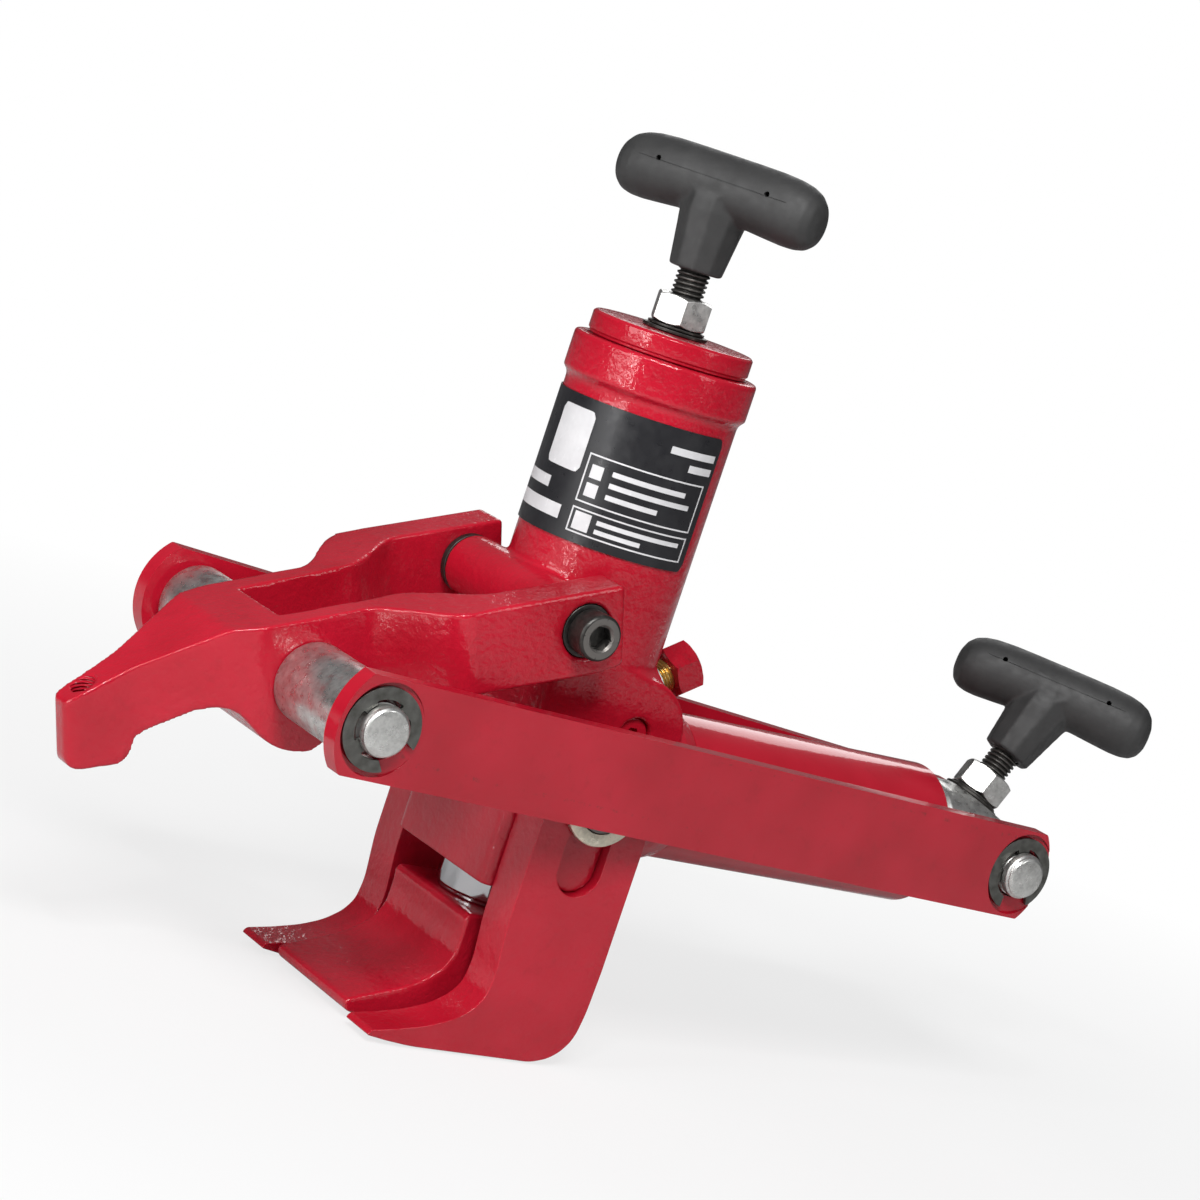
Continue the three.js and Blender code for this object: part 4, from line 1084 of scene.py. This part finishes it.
def floor_surface():
    """Pale studio floor: the camera sees it almost white, fading to pure white with distance."""
    n = Nodes("studio_white")
    n.put("Base Color", n.ramp(n.noise(3, 2), [(0.3, 0.60), (0.7, 0.63)]))
    n.put("Roughness", 0.9)
    n.put("Specular IOR Level", 0.1)
    distance = n.add("ShaderNodeVectorMath", operation="LENGTH")
    n.link(n.coords, distance.inputs[0])
    fade = n.ramp(distance.outputs["Value"], [(0.25, FLOOR_GLOW), (0.75, 1.0)])
    path = n.add("ShaderNodeLightPath")
    share = n.maths("MULTIPLY", fade, path.outputs["Is Camera Ray"])
    glow = n.add("ShaderNodeEmission")
    glow.inputs["Strength"].default_value = 1.0
    blend = n.add("ShaderNodeMixShader")
    n.link(share, blend.inputs[0])
    n.link(n.shader.outputs[0], blend.inputs[1])
    n.link(glow.outputs[0], blend.inputs[2])
    n.link(blend.outputs[0], n.tree.nodes["Material Output"].inputs["Surface"])
    return n.material


def surroundings():
    """White for the camera, a dim room with a brighter ceiling for every reflection."""
    world = bpy.data.worlds.new("studio")
    bpy.context.scene.world = world
    world.use_nodes = True
    tree = world.node_tree
    background = tree.nodes["Background"]
    coords = tree.nodes.new("ShaderNodeTexCoord")
    split = tree.nodes.new("ShaderNodeSeparateXYZ")
    ramp = tree.nodes.new("ShaderNodeValToRGB")
    path = tree.nodes.new("ShaderNodeLightPath")
    mix = tree.nodes.new("ShaderNodeMix")
    mix.data_type = "RGBA"
    tree.links.new(coords.outputs["Generated"], split.inputs[0])
    tree.links.new(split.outputs["Z"], ramp.inputs["Fac"])
    stops = ramp.color_ramp.elements
    stops[0].position = 0.0
    stops[0].color = (0.035, 0.035, 0.035, 1)
    stops[1].position = 0.8
    stops[1].color = (0.19, 0.19, 0.20, 1)
    tree.links.new(path.outputs["Is Camera Ray"], mix.inputs[0])
    tree.links.new(ramp.outputs["Color"], mix.inputs[6])
    mix.inputs[7].default_value = (1, 1, 1, 1)
    tree.links.new(mix.outputs[2], background.inputs["Color"])


def softbox(name, place, size, power, height=None):
    data = bpy.data.lights.new(name, "AREA")
    data.shape = "RECTANGLE"
    data.size = size
    data.size_y = height or size
    data.energy = power
    light = bpy.data.objects.new(name, data)
    bpy.context.scene.collection.objects.link(light)
    light.location = place
    light.rotation_euler = (Vector(LIGHT_TARGET) - Vector(place)).to_track_quat("-Z", "Y").to_euler()


def studio():
    signs = ((-1, -1), (1, -1), (1, 1), (-1, 1))
    corners = [(x * FLOOR_REACH, y * FLOOR_REACH, FLOOR_LEVEL) for x, y in signs]
    mesh = bpy.data.meshes.new("floor")
    mesh.from_pydata(corners, [], [(0, 1, 2, 3)])
    mesh.materials.append(floor_surface())
    floor = bpy.data.objects.new("floor", mesh)
    bpy.context.scene.collection.objects.link(floor)
    surroundings()
    softbox("key", (-0.7, -1.1, 1.4), 0.5, 22)
    softbox("left", (-1.5, -0.1, 0.5), 0.7, 8)
    softbox("streak", (-1.13, -0.40, 0.6), 0.06, 6, 1.2)
    softbox("spark", (-0.85, -0.75, 1.2), 0.1, 5)
    softbox("side", (0.5, -1.2, 0.8), 0.35, 4, 1.0)
    softbox("back", (0.9, 1.1, 1.0), 0.8, 6)


def camera():
    right = Vector(CAMERA_RIGHT).normalized()
    forward = Vector(CAMERA_FORWARD).normalized()
    up = right.cross(forward).normalized()
    right = forward.cross(up).normalized()
    data = bpy.data.cameras.new("camera")
    data.sensor_width = CAMERA_SENSOR
    data.lens = CAMERA_LENS
    data.clip_end = 50
    obj = bpy.data.objects.new("camera", data)
    bpy.context.scene.collection.objects.link(obj)
    basis = Matrix((right, up, -forward)).transposed().to_4x4()
    obj.matrix_world = Matrix.Translation(CAMERA_PLACE) @ basis
    bpy.context.scene.camera = obj
    bpy.context.scene.view_settings.view_transform = "Standard"


body_casting()
push_cap()
clamp_tube()
inlet()
label_plate()
push_ram_rod()
push_shoe()
return_spring()
crosshead()
rear_pin()
claw_arm()
claw_hardware()
for side_label, side_sign in SIDES:
    boss_plug(side_label, side_sign)
    foot_hardware(side_label, side_sign)
    pivot_screw(side_label, side_sign)
    side_link(side_label, side_sign)
    foot_plate(side_label, side_sign)
handle("top", TOP_HANDLE_FRAME, TOP_SWIVEL, 0, TOP_STUD_BOTTOM, "body")
handle("rear", REAR_HANDLE_FRAME, REAR_SWIVEL, REAR_GRIP_LEAN, REAR_STUD_BOTTOM, "clamp_ram")
dress_cad_nodes()
studio()
camera()
